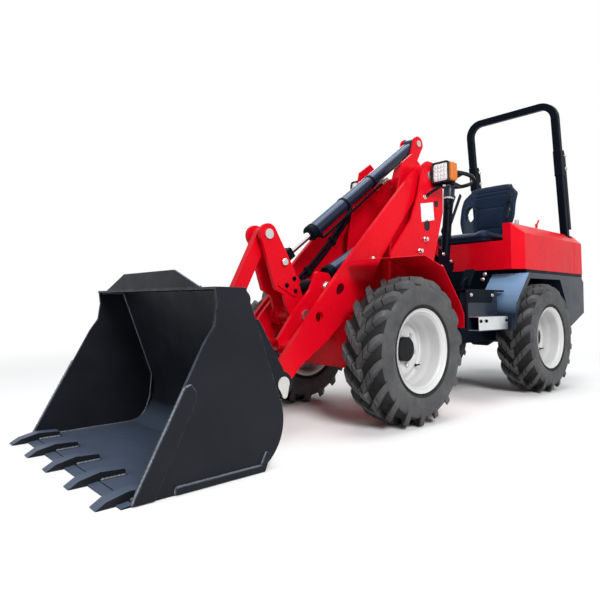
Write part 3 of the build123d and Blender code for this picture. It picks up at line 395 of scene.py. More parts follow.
def tube(bm, points, radius, sides=14, steps=8):
    """A bent round bar or pipe through points in millimetres."""
    line = [place(*p) for p in curve_points(points, steps)]
    across = (line[1] - line[0]).orthogonal().normalized()
    loops = []
    for i, p in enumerate(line):
        ahead = (line[min(i + 1, len(line) - 1)] - line[max(i - 1, 0)]).normalized()
        across = (across - ahead * across.dot(ahead)).normalized()
        up = ahead.cross(across)
        turns = [2 * pi * k / sides for k in range(sides)]
        loops.append([p + (across * cos(a) + up * sin(a)) * radius / 1000 for a in turns])
    skin(bm, loops)


def rounded(width, height, radius, steps=5):
    """Points round a rectangle with round corners, about its middle."""
    points = []
    for u, v, start in ((1, 1, 0), (-1, 1, 90), (-1, -1, 180), (1, -1, 270)):
        for s in range(steps + 1):
            a = radians(start + 90 * s / steps)
            across = u * (width / 2 - radius) + radius * cos(a)
            points.append((across, v * (height / 2 - radius) + radius * sin(a)))
    return points


def bead(bm, points, radius, seed=0, step=0.005):
    """A rippled weld bead along a run of points."""
    rng = random.Random(seed)
    line = []
    for a, b in zip(points, points[1:]):
        a, b = Vector(a), Vector(b)
        count = max(1, int((b - a).length / step))
        line += [a.lerp(b, i / count) for i in range(count)]
    line.append(Vector(points[-1]))
    loops = []
    turns = [2 * pi * k / 8 for k in range(8)]
    for i, p in enumerate(line):
        ahead = (line[min(i + 1, len(line) - 1)] - line[max(i - 1, 0)]).normalized()
        across = ahead.orthogonal().normalized()
        up = ahead.cross(across)
        r = radius * (0.8 + 0.28 * (i % 3) / 2 + 0.25 * rng.random())
        if i in (0, len(line) - 1):
            r *= 0.3
        loops.append([p + (across * cos(a) + up * sin(a)) * r for a in turns])
    skin(bm, loops)


# Tyres: carcass ring and broken chevron lugs

LUGS = 18
LUG_LEAD = 0.40          # radians from the middle of the tread back to the shoulder
GROOVE_R = 0.338         # the carcass is darker outside this radius, between the lugs: painted shade in the grooves
BEAD_R = 0.240           # and inside this one, next to the rim
CARCASS = [  # (radius, y) from the bead to the middle of the tread
    (0.196, 0.098), (0.206, 0.104), (0.222, 0.1065), (0.231, 0.112), (0.236, 0.118), (0.243, 0.1205),
    (0.252, 0.1245), (0.275, 0.1295), (0.300, 0.1315), (0.318, 0.129), (0.334, 0.121), (0.346, 0.107),
    (0.354, 0.080), (0.358, 0.040), (0.3585, 0.0),
]
LUG_BLOCKS = [  # (y, base radius, tip radius) along one lug from the middle out, in three separate blocks
    [(-0.004, 0.354, 0.3898), (0.034, 0.353, 0.3895)],
    [(0.040, 0.353, 0.3893), (0.066, 0.350, 0.3885)],
    [(0.072, 0.349, 0.3878), (0.100, 0.344, 0.3835), (0.118, 0.329, 0.3660), (0.1275, 0.312, 0.3390),
     (0.1310, 0.303, 0.3180)],
]
LUG_PHASE = {1: 0.875, -1: 0.375}    # pitches from straight up to the first lug of each row


def tyre_mesh(bm):
    """Carcass and lugs about the Y axis; the two rows are half a pitch apart."""
    half = curve_points(CARCASS, 3)
    profile = [(p[0], p[1]) for p in half] + [(p[0], -p[1]) for p in reversed(half[:-1])]
    lathe(profile, 108, bm)
    # Faces between the lugs and next to the rim take the darker rubber; between the lugs it is painted shade.
    for face in bm.faces:
        middle = face.calc_center_median()
        if not BEAD_R < (middle.x ** 2 + middle.z ** 2) ** 0.5 < GROOVE_R:
            face.material_index = 1
    for row in (1, -1):
        for i in range(LUGS):
            start = 2 * pi * (i + LUG_PHASE[row]) / LUGS
            for number, block in enumerate(LUG_BLOCKS):
                lug_block(bm, row, start, block, number)


def lug_block(bm, row, start, block, number):
    """One closed block of a lug, through its sections from the middle out."""
    sections = []
    for y, base, tip in block:
        a = start - LUG_LEAD * (max(y, 0) / 0.131) ** 0.92
        wide = 0.0225 if number < 2 else 0.0215 - 0.004 * (y - 0.072) / 0.06
        ring = []
        for side, radius, spread in ((-1, base, 1.45), (-1, tip, 1.0), (1, tip, 1.0), (1, base, 1.45)):
            angle = a + side * wide * spread / 0.38
            reach = y if radius == base else y * (1.0 if number < 2 else 1.005)
            ring.append(bm.verts.new((radius * sin(angle), row * reach, radius * cos(angle))))
        sections.append(ring)
    flip = row > 0
    faces = [sections[0][::-1], sections[-1]]
    for one, two in zip(sections, sections[1:]):
        faces += [(one[k], one[(k + 1) % 4], two[(k + 1) % 4], two[k]) for k in range(4)]
    for face in faces:
        bm.faces.new(face[::-1] if flip else face)


RIM_PROFILE = [  # (radius, y) round the rim's section, with y out from the wheel's middle
    (0.066, -0.027), (0.066, -0.017), (0.128, -0.016), (0.136, -0.0175), (0.150, -0.026), (0.160, -0.0325),
    (0.168, -0.0335), (0.173, -0.030), (0.1755, -0.020), (0.1765, 0.000), (0.178, 0.016), (0.184, 0.024),
    (0.186, 0.040), (0.1865, 0.085), (0.188, 0.096), (0.196, 0.103), (0.207, 0.106), (0.2125, 0.110),
    (0.2165, 0.1145), (0.2185, 0.1165), (0.2195, 0.1145), (0.2185, 0.108), (0.212, 0.105), (0.196, 0.104),
    (0.195, 0.060), (0.195, -0.1045), (0.2175, -0.1055), (0.2175, -0.1165), (0.186, -0.1165),
    (0.186, -0.050), (0.172, -0.045), (0.150, -0.040), (0.128, -0.028), (0.066, -0.027),
]
AXLE_X, WHEEL_Y, AXLE_Z = 782.5, 440, 390
NUT_CIRCLE_R = 0.092
VALVE_R = 0.158
WHEELS = [("front_left", AXLE_X, 1), ("front_right", AXLE_X, -1), ("rear_left", -AXLE_X, 1),
          ("rear_right", -AXLE_X, -1)]

for corner, x, side in WHEELS:
    centre = place(x, side * WHEEL_Y, AXLE_Z)
    body = "wheel_" + corner
    bm = bmesh.new()
    tyre_mesh(bm)
    bmesh.ops.recalc_face_normals(bm, faces=bm.faces[:])
    bmesh.ops.translate(bm, verts=bm.verts[:], vec=centre)
    tyre = sharpen(link_mesh("tread_" + corner, bm, TYRE, body), 40, 0.0022, 2)
    tyre.data.materials.append(GROOVE_SHADE_RUBBER)
    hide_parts("tyre_" + corner)
    bm = lathe([(r, side * y) for r, y in RIM_PROFILE], 128)
    bmesh.ops.remove_doubles(bm, verts=bm.verts[:], dist=1e-5)
    bmesh.ops.recalc_face_normals(bm, faces=bm.faces[:])
    bmesh.ops.translate(bm, verts=bm.verts[:], vec=centre)
    rim = link_mesh("dish_" + corner, bm, RIM, body)
    rim.modifiers.new("normals", "WEIGHTED_NORMAL")
    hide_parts("rim_" + corner)
    nuts = []
    for k in range(6):
        a = 2 * pi * (k + 0.3) / 6
        spot = Vector((NUT_CIRCLE_R * sin(a), side * -0.0165, NUT_CIRCLE_R * cos(a)))
        nuts.append((centre + spot, (0, side, 0), 0.014))
    bolts("wheel_nuts_" + corner, nuts, body, STEEL)
    bm = bmesh.new()
    a = radians(232)
    foot = centre + Vector((VALVE_R * sin(a), side * -0.031, VALVE_R * cos(a)))
    lean = (-0.35 * sin(a), side, -0.35 * cos(a))
    add_disc(bm, foot, lean, 0.0075, 0.012, 16)
    add_disc(bm, foot, lean, 0.0048, 0.040, 16, 0.0042)
    link_mesh("valve_" + corner, bm, DARK_PLASTIC, body, smooth=False)


# Seat: cushion and back as crowned forms with sewn channels

def smooth_step(low, high, value):
    t = max(0.0, min(1.0, (value - low) / (high - low)))
    return t * t * (3 - 2 * t)


def groove(distance, width=0.0045, depth=0.006):
    return -depth * 2.718 ** (-(distance / width) ** 2)


def two_sided(name, front, rear, columns, rows, holes, body):
    """A closed pad between two surfaces over the same grid, with oval holes through it.

    front and rear give a point for u and v from -1 to 1; a hole is (u, v, radius in u, radius in v)."""
    bm = bmesh.new()
    grid = [(2 * i / columns - 1, 2 * j / rows - 1) for j in range(rows + 1) for i in range(columns + 1)]

    def inside(u, v):
        return any(((u - a) / ru) ** 2 + ((v - b) / rv) ** 2 < 1 for a, b, ru, rv in holes)

    def cell(i, j):
        return not inside(2 * (i + 0.5) / columns - 1, 2 * (j + 0.5) / rows - 1)

    open_edge = set()
    for j in range(1, rows):
        for i in range(1, columns):
            around = [cell(a, b) for a in (i - 1, i) for b in (j - 1, j)]
            if any(around) and not all(around):
                open_edge.add(j * (columns + 1) + i)
    for k in open_edge:
        u, v = grid[k]
        a, b, ru, rv = min(holes, key=lambda h: (u - h[0]) ** 2 + (v - h[1]) ** 2)
        scale = (((u - a) / ru) ** 2 + ((v - b) / rv) ** 2) ** -0.5
        grid[k] = (a + (u - a) * scale, b + (v - b) * scale)
    sheets = [[bm.verts.new(surface(u, v)) for u, v in grid] for surface in (front, rear)]
    for number, verts in enumerate(sheets):
        for j in range(rows):
            for i in range(columns):
                if cell(i, j):
                    k = j * (columns + 1) + i
                    quad = [verts[k], verts[k + 1], verts[k + columns + 2], verts[k + columns + 1]]
                    bm.faces.new(quad if number else quad[::-1])
    for j in range(rows):
        for i in range(columns):
            if not cell(i, j):
                continue
            k = j * (columns + 1) + i
            sides = [((i, j - 1), k, k + 1), ((i + 1, j), k + 1, k + columns + 2),
                     ((i, j + 1), k + columns + 2, k + columns + 1), ((i - 1, j), k + columns + 1, k)]
            for (a, b), one, two in sides:
                out = not (0 <= a < columns and 0 <= b < rows)
                if out or not cell(a, b):
                    bm.faces.new((sheets[0][one], sheets[0][two], sheets[1][two], sheets[1][one]))
    bmesh.ops.remove_doubles(bm, verts=bm.verts[:], dist=2e-5)
    bmesh.ops.recalc_face_normals(bm, faces=bm.faces[:])
    obj = link_mesh(name, bm, VINYL, body)
    obj.modifiers.new("subdivision", "SUBSURF").levels = 1
    obj.modifiers["subdivision"].render_levels = 1
    return obj


def back_middle(u, v):
    """Middle surface of the seat back: leans back, with wings that come forward at the sides."""
    up = (v + 1) / 2
    corner = smooth_step(0.62, 1.0, abs(v)) * abs(u) ** 2
    half = 0.245 * (0.80 + 0.20 * smooth_step(0.0, 0.45, up))
    y = half * u * (1 - 0.26 * corner)
    z = 1.375 + 0.262 * v * (1 - 0.13 * abs(u) ** 4)
    wing = 0.085 * smooth_step(0.5, 1.0, abs(u)) * (1 - 0.45 * smooth_step(0.6, 1.0, up))
    x = -0.965 - 0.100 * up ** 1.2 + wing
    return x, y, z


def back_thickness(u, v):
    return 0.036 * (max(0.0, 1 - abs(u) ** 6) * max(0.0, 1 - abs(v) ** 6)) ** 0.5


def back_front(u, v):
    x, y, z = back_middle(u, v)
    crown = back_thickness(u, v)
    fold = min(crown / 0.02, 1.0)
    arch = 0.22 + 0.75 * max(0.0, abs(u) - 0.46)
    lines = [
        abs(abs(u) - 0.46) * 0.24 if -0.78 < v < 0.22 else 1.0,
        abs(v - arch) * 0.24 if abs(u) < 0.80 else 1.0,
        abs(v + 0.46) * 0.26 if abs(u) < 0.46 else 1.0,
        abs(v - 0.76) * 0.26 if abs(u) < 0.70 else 1.0,
        abs(v - 0.62) * 0.26 if abs(u) < 0.60 else 1.0,
    ]
    dip = sum(groove(d) for d in lines) * fold
    puff = 0.0
    if abs(u) < 0.46 and -0.46 < v < 0.22:
        puff = 0.010 * cos(pi * u / 0.92) * cos(pi * (v + 0.12) / 0.68)
    return Vector((x + crown + dip + max(0.0, puff) - ORIGIN_X / 1000, y, z))


def back_rear(u, v):
    x, y, z = back_middle(u, v)
    return Vector((x - back_thickness(u, v) * 0.85 - ORIGIN_X / 1000, y, z))


def cushion_top(u, v):
    y = 0.240 * u * (1 - 0.13 * abs(v) ** 6 * u * u)
    x = -0.6875 + 0.217 * v * (1 - 0.10 * abs(u) ** 6)
    edge = (max(0.0, 1 - abs(u) ** 7) * max(0.0, 1 - abs(v) ** 7)) ** 0.5
    bolster = 0.020 * smooth_step(0.45, 0.85, abs(u)) + 0.012 * smooth_step(0.3, 0.8, v)
    bolster = bolster - 0.018 * smooth_step(0.75, 1.0, v)
    lines = [
        abs(abs(u) - 0.52) * 0.24 if v < 0.86 else 1.0,
        abs(v - 0.50) * 0.217 if abs(u) < 0.52 else 1.0,
        abs(v + 0.02) * 0.217 if abs(u) < 0.52 else 1.0,
        abs(v + 0.52) * 0.217 if abs(u) < 0.52 else 1.0,
    ]
    z = 1.128 + (0.034 + bolster) * edge + sum(groove(d) for d in lines) * min(1.0, edge * 2)
    return Vector((x - ORIGIN_X / 1000, y, z))


def cushion_low(u, v):
    top = cushion_top(u, v)
    inset = 1 - 0.05 * max(abs(u), abs(v)) ** 8
    edge = (max(0.0, 1 - abs(u) ** 7) * max(0.0, 1 - abs(v) ** 7)) ** 0.5
    return Vector(((top.x + 1.085) * inset - 1.085, top.y * inset, 1.128 - 0.037 * edge ** 0.5))


seat_top = two_sided("seat_cushion_cover", cushion_top, cushion_low, 72, 64, [], "rear_frame")
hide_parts("seat_cushion")
HOLES = [(0.70, 0.08, 0.105, 0.26), (-0.70, 0.08, 0.105, 0.26)]
seat_rest = two_sided("seat_back_cover", back_front, back_rear, 76, 84, HOLES, "rear_frame")
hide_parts("seat_back")


# Work lamps: bezel, lens with reflector cells, amber side lamp and stay

LENS = plastic("lamp_lens", (0.84, 0.87, 0.88), rough=0.07, fine=0.01)
CELLS = plastic("lamp_cells", (0.74, 0.80, 0.82), rough=0.2, fine=0.01)
AMBER = plastic("amber_lens", (0.60, 0.16, 0.015), rough=0.12, fine=0.02)
LAMP_X, LAMP_Y, LAMP_Z = 250, 350, 1455
BEZEL = [(278, 125, 135, 18), (290, 125, 135, 18), (293, 119, 129, 16), (290, 104, 114, 13),
         (283, 102, 112, 12)]
LENS_STEPS = [(281, 101, 111, 12), (286, 101, 111, 12), (288, 95, 105, 10)]
CELL_STEPS = [(287, 19, 20, 3), (290, 18, 19, 3), (291.5, 12, 13, 3)]
CELL_PITCH = (22.5, 24.5)
SIDE_LAMP = [(410, 66, 116, 14), (424, 66, 116, 14), (429, 58, 108, 12)]
LAMP_STAY = [(350, 284, 1300), (322, 292, 1325), (272, 336, 1367), (255, 348, 1382)]
SIDES = ((1, "left"), (-1, "right"))


def lamp_loops(side, steps, shift=(0, 0)):
    """Loops square to X about the lamp's middle, from (x, width, height, corner)."""
    loops = []
    for x, w, h, r in steps:
        edge = rounded(w, h, r)
        loops.append([place(x, side * LAMP_Y + y + shift[0], LAMP_Z + z + shift[1]) for y, z in edge])
    return loops


for side, hand in SIDES:
    bm = bmesh.new()
    skin(bm, lamp_loops(side, BEZEL))
    link_mesh("lamp_bezel_" + hand, bm, DARK_PLASTIC, "front_frame", smooth=False)
    bm = bmesh.new()
    skin(bm, lamp_loops(side, LENS_STEPS))
    link_mesh("lamp_lens_" + hand, bm, LENS, "front_frame", smooth=False)
    bm = bmesh.new()
    for row in range(4):
        for column in range(4):
            shift = ((column - 1.5) * CELL_PITCH[0], (row - 1.5) * CELL_PITCH[1])
            skin(bm, lamp_loops(side, CELL_STEPS, shift))
    link_mesh("lamp_cells_" + hand, bm, CELLS, "front_frame", smooth=False)
    bm = bmesh.new()
    edges = [(y, rounded(w, h, r)) for y, w, h, r in SIDE_LAMP]
    skin(bm, [[place(LAMP_X + x, side * y, LAMP_Z + z) for x, z in edge] for y, edge in edges])
    for k in range(7):
        rib = LAMP_X + (k - 3) * 8
        edge = rounded(5, 5, 2, 2)
        skin(bm, [[place(rib + x, side * 428 + y, LAMP_Z + z) for x, y in edge] for z in (-50, 50)])
    link_mesh("side_lamp_" + hand, bm, AMBER, "front_frame", smooth=False)
    bm = bmesh.new()
    tube(bm, [(x, side * y, z) for x, y, z in LAMP_STAY], 9)
    link_mesh("lamp_stay_" + hand, bm, BLACK, "front_frame")
    bolts("lamp_bolts_" + hand, [(place(352, side * 277, 1298), (0, side, 0), 0.014),
                                 (place(252, side * 350, 1379), (0, 0, -1), 0.014)], "front_frame")


# Tower: blank plate, grommets, bulkhead fittings, fender bolts

bm = bmesh.new()
plate(bm, [(398, 1251), (267, 1277), (254, 1165), (388, 1138)], 276.8, 278.6)
link_mesh("blank_plate", bm, WHITE_PLATE, "front_frame", smooth=False)

GROMMETS = [(335, 1122, 48, 62, 23), (230, 1271, 30, 34, 14)]  # x, z, width, height, corner
bm = bmesh.new()
for side, hand in SIDES:
    for x, z, w, h, r in GROMMETS:
        steps = [(276.5, 8), (280, 6), (280, 0), (277.6, -1)]
        edges = [(y, rounded(w + g, h + g, r + g / 2)) for y, g in steps]
        skin(bm, [[place(x + u, side * y, z + v) for u, v in edge] for y, edge in edges])
link_mesh("tower_grommets", bm, DARK_PLASTIC, "front_frame", smooth=False)

FITTING = [(0, 17), (7, 17), (7, 12), (14, 12), (14, 14), (24, 14), (26, 12)]
bm = bmesh.new()
for x, z in ((360, 1032), (418, 955)):
    turned(bm, (x, 277, z), (0, 1, 0), FITTING, 6)
sharpen(link_mesh("bulkhead_fittings", bm, STEEL, "front_frame", smooth=False), 30, 0.001, 1)
for side, hand in SIDES:
    bolts("fender_bolts_" + hand, [(place(657, side * 300, 867), (-0.30, 0, 0.954), 0.014),
                                   (place(545, side * 300, 814), (-0.773, 0, 0.634), 0.014),
                                   (place(880, side * 300, 879), (0.104, 0, 0.994), 0.014)], "front_frame")


# Cylinders: glands, ports and the fixed pipe under the tilt barrel

def along(base, eye, distance, below=0.0, y=0.0):
    """A point a distance up a cylinder from its base, and below its middle line."""
    way = Vector((eye[0] - base[0], eye[1] - base[1])).normalized()
    return base[0] + way.x * distance + way.y * below, y, base[1] + way.y * distance - way.x * below


TILT = ((108, 1740), (1315, 850))
LIFT = ((330, 1125), (1078, 724))
CYLINDERS = [  # body, base and eye, where the barrel ends, its radius, the rod's radius
    ("tilt_barrel", TILT, 1204, 42, 22),
    ("lift_barrel", LIFT, 690, 47, 25),
]
for body, (base, eye), mouth, radius, rod in CYLINDERS:
    axis = (eye[0] - base[0], 0, eye[1] - base[1])
    bm = bmesh.new()
    gland = [
        (mouth - 44, radius - 1), (mouth - 42, radius + 4), (mouth - 6, radius + 4), (mouth - 5, radius + 2),
        (mouth + 2, radius + 2), (mouth + 5, radius - 1), (mouth + 5, rod + 7), (mouth + 9, rod + 6),
        (mouth + 9, rod + 1), (mouth - 2, rod + 1), (mouth - 2, radius - 1),
    ]
    turned(bm, (base[0], 0, base[1]), axis, gland, 40, True)
    sharpen(link_mesh(body + "_gland", bm, BLACK, body), 25, 0.0008, 1)
    bm = bmesh.new()
    for spot in (mouth - 70, 110):
        down = (axis[2], 0, -axis[0])
        turned(bm, along(base, eye, spot, radius - 4), down, [(0, 17), (16, 17), (18, 15)], 24)
    link_mesh(body + "_ports", bm, BLACK, body, smooth=False)

# Each rod's end is painted black as far as the reach, in metres from its eye
for node, eye, reach in (("tilt_rod", TILT[1], 0.16), ("lift_rod", LIFT[1], 0.07)):
    data = NODES[node].data
    data.materials.append(BLACK)
    for polygon in data.polygons:
        middle = NODES[node].matrix_world @ polygon.center
        if (middle - place(eye[0], middle.y * 1000, eye[1])).length < reach:
            polygon.material_index = 1

TILT_PIPE = [(1134, 50, 0), (1128, 64, 4), (1100, 70, 8), (900, 66, 12), (640, 62, 16), (470, 60, 18)]
bm = bmesh.new()
tube(bm, [along(*TILT, s, b, y) for s, b, y in TILT_PIPE], 7.5)
link_mesh("tilt_pipe", bm, BLACK, "tilt_barrel")
bm = bmesh.new()
way = (TILT[1][0] - TILT[0][0], 0, TILT[1][1] - TILT[0][1])
turned(bm, along(*TILT, 405, 60, 18), way, [(0, 13), (30, 13), (30, 16), (52, 16), (52, 11), (72, 11)], 6)
turned(bm, along(*TILT, 405, 52, -14), way, [(0, 13), (26, 13), (26, 16), (48, 16), (48, 11), (66, 11)], 6)
sharpen(link_mesh("tilt_fittings", bm, ZINC, "tilt_barrel", smooth=False), 30, 0.001, 1)
bm = bmesh.new()
for spot in (560, 860):
    turned(bm, along(*TILT, spot), way, [(-9, 41), (-9, 45), (9, 45), (9, 41)], 40, True)
link_mesh("tilt_clamps", bm, BLACK, "tilt_barrel", smooth=False)


# Boom: fixed pipes on the far arm, cut-outs drawn as thin dark-red plates of painted shade, pin ends

PIPE_Y, PIPE_R, PIPE_SHIFT = -203, 11, 14
PIPE_RUN = [(385, 1370), (520, 1235), (700, 1030), (850, 880), (985, 760), (1050, 690)]
bm = bmesh.new()
for shift in (-PIPE_SHIFT, PIPE_SHIFT):
    tube(bm, [(x + shift * 0.7, PIPE_Y, z + shift * 0.7) for x, z in PIPE_RUN], PIPE_R)
link_mesh("arm_pipes", bm, BLACK, "boom")
bm = bmesh.new()
for x, z in ((455, 1302), (690, 1041), (905, 831)):
    loop = [(x + (u + v) * 0.707, z + (u - v) * 0.707) for u, v in rounded(64, 24, 5)]
    plate(bm, loop, -214.5, -189)
sharpen(link_mesh("arm_pipe_clamps", bm, DARK_PLASTIC, "boom", smooth=False), 30, 0.0015, 2)

CUT_OUT = [(1088, 733), (1068, 741), (1051, 733), (1047, 714), (1060, 696), (1080, 684), (1097, 682),
           (1104, 694), (1102, 714)]


def spread(outline, by):
    """The outline with each point moved out from the middle by a distance."""
    mid = sum((Vector(p) for p in outline), Vector((0, 0))) / len(outline)
    return [Vector(p) + (Vector(p) - mid).normalized() * by for p in outline]


PIN_END = [(0, 30), (6, 30), (6, 24), (12, 24), (14, 21)]
bm = bmesh.new()
holes = bmesh.new()
for side, hand in SIDES:
    for face, out in ((240, 1), (215, -1)):
        steps = [(-0.5, 0), (0.6, 0), (0.6, -2), (0.3, -3)]
        edge = [(p.x, p.y) for p in curve_points(CUT_OUT + CUT_OUT[:1], 5)[:-1]]
        edges = [(face + out * y, spread(edge, g)) for y, g in steps]
        skin(holes, [[place(x, side * y, z) for x, z in ring] for y, ring in edges])
    turned(bm, (1078, side * 140, 724), (0, side, 0), PIN_END, 28)
# The cut-outs are thin dark-red plates on the arm faces, not holes; their dark is painted shade.
link_mesh("arm_cut_out_shade_plates", holes, HOLE_SHADE_RED, "boom", smooth=False)
sharpen(link_mesh("lift_eye_pin_ends", bm, STEEL, "boom"), 30, 0.001, 2)

BOSS_BOLTS = [(1253, 765), (1244, 699), (1304, 728)]
BOSS = [(1249, 791), (1225, 774), (1220, 724), (1237, 670), (1262, 674), (1358, 725), (1354, 745)]
bm = bmesh.new()
pins = bmesh.new()
dots = []
for side, hand in SIDES:
    low, high = sorted((side * 64, side * 72))
    plate(bm, BOSS, low, high)
    turned(pins, (1315, side * 70, 850), (0, side, 0), [(0, 20), (6, 20), (8, 17)], 28)
    dots += [(place(x, side * 72, z), (0, side, 0), 0.012) for x, z in BOSS_BOLTS]
sharpen(link_mesh("rocker_boss", bm, RED, "bellcrank", smooth=False), 30, 0.002, 2)
sharpen(link_mesh("tilt_eye_ends", pins, STEEL, "bellcrank"), 30, 0.001, 2)
bolts("rocker_bolts", dots, "bellcrank", BLACK)


# Bucket: side cutters, skid strips and welds

CUTTER = [(2138, 356), (2160, 350), (2327, 26), (2336, 3), (2262, 3), (2118, 300), (2117, 330)]
SKID = [(1791, 66), (1818, 2), (2188, 2), (2188, 26), (1834, 26), (1808, 74)]
INSIDE = [(2318, 11), (1856, 11), (1812, 22), (1779, 62), (1756, 130), (1748, 247), (1830, 460),
          (1918, 684), (2030, 684)]
TOOTH_PITCH = 247.5
TOOTH_WELD = [(2326, 27), (2236, 27), (2229, 18), (2229, -18), (2236, -27), (2326, -27)]
bm = bmesh.new()
welds = bmesh.new()
for side, hand in SIDES:
    low, high = sorted((side * 556.5, side * 567))
    plate(bm, CUTTER, low, high)
    plate(bm, SKID, low, high)
    bead(welds, [place(x, side * 542, z) for x, z in INSIDE], 0.0038, 3 + side)
    bead(welds, [place(x, side * 558.5, z) for x, z in CUTTER[1:4]], 0.0045, 7 + side)
    bead(welds, [place(x, side * 558.5, z) for x, z in CUTTER[4:] + CUTTER[:2]], 0.003, 9 + side)
    bead(welds, [place(x, side * 558.5, z) for x, z in SKID[2:]], 0.0035, 11 + side)
for k in range(5):
    bead(welds, [place(x, (k - 2) * TOOTH_PITCH + y, 12) for x, y in TOOTH_WELD], 0.0045, 20 + k)
bead(welds, [place(2034, -446, 698), place(2034, 446, 698)], 0.003, 31)
sharpen(link_mesh("bucket_strips", bm, CHARCOAL, "bucket", smooth=False), 30, 0.0018, 2)
link_mesh("bucket_welds", welds, WELD, "bucket")


# Driver's place: column cap and brace, side plates, pedals, buckle, latch

COLUMN = ((-255, 0, 697), (-113, 0, 833))
bm = bmesh.new()
turned(bm, *COLUMN, [(742, 38), (744, 41), (800, 43), (826, 42), (834, 38)], 36)
sharpen(link_mesh("column_cap", bm, SLATE, "rear_frame"), 30, 0.002, 2)
bm = bmesh.new()
turned(bm, *COLUMN, [(728, 39), (730, 41), (740, 41), (742, 39)], 36)
link_mesh("column_ring", bm, GREY_PLASTIC, "rear_frame")
bm = bmesh.new()
turned(bm, *COLUMN, [(640, 33), (650, 35), (728, 40)], 36)
turned(bm, *COLUMN, [(32, 60), (40, 60), (42, 42), (90, 36)], 36)
link_mesh("column_cone", bm, BLACK, "rear_frame")

bm = bmesh.new()
for y in (-30, 22):
    plate(bm, [(-300, 1150), (-285, 1175), (-470, 1478), (-492, 1462)], y, y + 8)
sharpen(link_mesh("column_brace", bm, CAST, "rear_frame", smooth=False), 30, 0.0015, 2)

BRACKET_BOLTS = [(-205, 990), (-306, 944), (-180, 900)]
BRACKET = [(-150, 1036), (-338, 942), (-340, 886), (-300, 850), (-146, 872)]
bm = bmesh.new()
plate(bm, BRACKET, 35, 42)
plate(bm, BRACKET, -42, -35)
sharpen(link_mesh("column_brackets", bm, BLACK, "rear_frame", smooth=False), 30, 0.0015, 2)
for side, hand in SIDES:
    heads = [(place(x, side * 42, z), (0, side, 0), 0.013) for x, z in BRACKET_BOLTS]
    bolts("bracket_bolts_" + hand, heads, "rear_frame")

PEDAL = [(-116, 748), (-110, 752), (-188, 872), (-196, 868)]
bm = bmesh.new()
for low_y, high_y in ((225, 300), (-300, -225)):
    plate(bm, PEDAL, low_y, high_y)
    mid = (low_y + high_y) / 2
    tube(bm, [(-158, mid, 812), (-130, mid, 800), (-96, mid, 770), (-88, mid, 727)], 8)
    for k in range(5):
        x, z = -124 - k * 14, 762 + k * 21.5
        skin(bm, [[place(x + u, y, z + v) for u, v in rounded(5, 5, 2, 2)] for y in (low_y + 6, high_y - 6)])
sharpen(link_mesh("pedals", bm, BLACK, "rear_frame", smooth=False), 30, 0.0012, 2)

bm = bmesh.new()
for low_y, high_y in ((386, 390), (-390, -386)):
    plate(bm, [(44, 727), (-292, 727), (-246, 640), (44, 640)], low_y, high_y)
sharpen(link_mesh("step_covers", bm, BLACK, "rear_frame", smooth=False), 30, 0.0012, 2)
for side, hand in SIDES:
    heads = [(place(x, side * 460, 522), (0, side, 0), 0.011) for x in (28, -40, -304)]
    bolts("step_bolts_" + hand, heads, "rear_frame", BLACK)
    heads = [(place(x, side * 390, 690), (0, side, 0), 0.011) for x in (20, -250)]
    bolts("riser_bolts_" + hand, heads, "rear_frame")

bm = bmesh.new()
tube(bm, [(-870, 268, 1094), (-884, 266, 1150), (-892, 264, 1212)], 7)
link_mesh("buckle_stalk", bm, DARK_PLASTIC, "rear_frame")
bm = bmesh.new()
loops = [(1206, 30, 18), (1210, 36, 22), (1276, 40, 24), (1292, 38, 22), (1297, 30, 14)]
edges = [(z, rounded(w, d, 6)) for z, w, d in loops]
skin(bm, [[place(-894 - (z - 1206) * 0.12 + u, 264 + v, z) for u, v in edge] for z, edge in edges])
sharpen(link_mesh("seat_buckle", bm, GREY_PLASTIC, "rear_frame"), 30, 0.0015, 2)

bm = bmesh.new()
tube(bm, [(-1032, 360, 1212), (-1036, 360, 1240), (-1044, 360, 1262)], 9)
tube(bm, [(-1020, 362, 1256), (-1048, 360, 1266), (-1085, 358, 1298)], 7)
link_mesh("hood_latch", bm, RED, "rear_frame")


# Roll bar: sleeves over the fold, rear channels, bolts

LEAN = radians(7)
POST_X, POST_Y, POST_Z = -1545, 395, 853


def post(length, back, y):
    """A point at a length up the leaning post, a distance behind its middle."""
    x = POST_X + length * sin(LEAN) - back * cos(LEAN)
    return place(x, y, POST_Z + length * cos(LEAN) + back * sin(LEAN))


bm = bmesh.new()
channel = bmesh.new()
heads = []
for side, hand in SIDES:
    mid = side * POST_Y
    steps = [(866, 64), (868, 68), (880, 68), (884, 66), (1078, 66), (1082, 61)]
    skin(bm, [[post(length, u, mid + v) for u, v in rounded(w, w, 9)] for length, w in steps])
    for low_y in (mid - 33, mid + 27):
        outline = [(405, 20), (405, 66), (1030, 66), (1082, 44), (1082, 20)]
        skin(channel, [[post(length, back, low_y + t) for length, back in outline] for t in (0, 6)])
    for length in (925, 1035):
        heads += [(post(length, 50, mid + out * 33), (0, out, 0), 0.016) for out in (1, -1)]
sharpen(link_mesh("roll_bar_sleeves", bm, BLACK, "rear_frame"), 30, 0.001, 2)
sharpen(link_mesh("roll_bar_channels", channel, BLACK, "rear_frame", smooth=False), 30, 0.0015, 2)
bolts("roll_bar_bolts", heads, "rear_frame")


# Mudguards: folded lip and bolts

LIP = [(-367, 565), (-379, 647), (-579, 853), (-1130, 853), (-1130, 818), (-598, 814), (-417, 630),
       (-392, 565)]
bm = bmesh.new()
for low_y, high_y in ((494, 500.5), (-500.5, -494)):
    plate(bm, LIP, low_y, high_y)
sharpen(link_mesh("mudguard_lips", bm, SLATE, "rear_frame", smooth=False), 30, 0.0015, 2)
for side, hand in SIDES:
    heads = [(place(-500, side * y, z), (1, 0, 0), 0.014) for y, z in ((203, 850), (186, 812))]
    bolts("tank_bolts_" + hand, heads, "rear_frame")


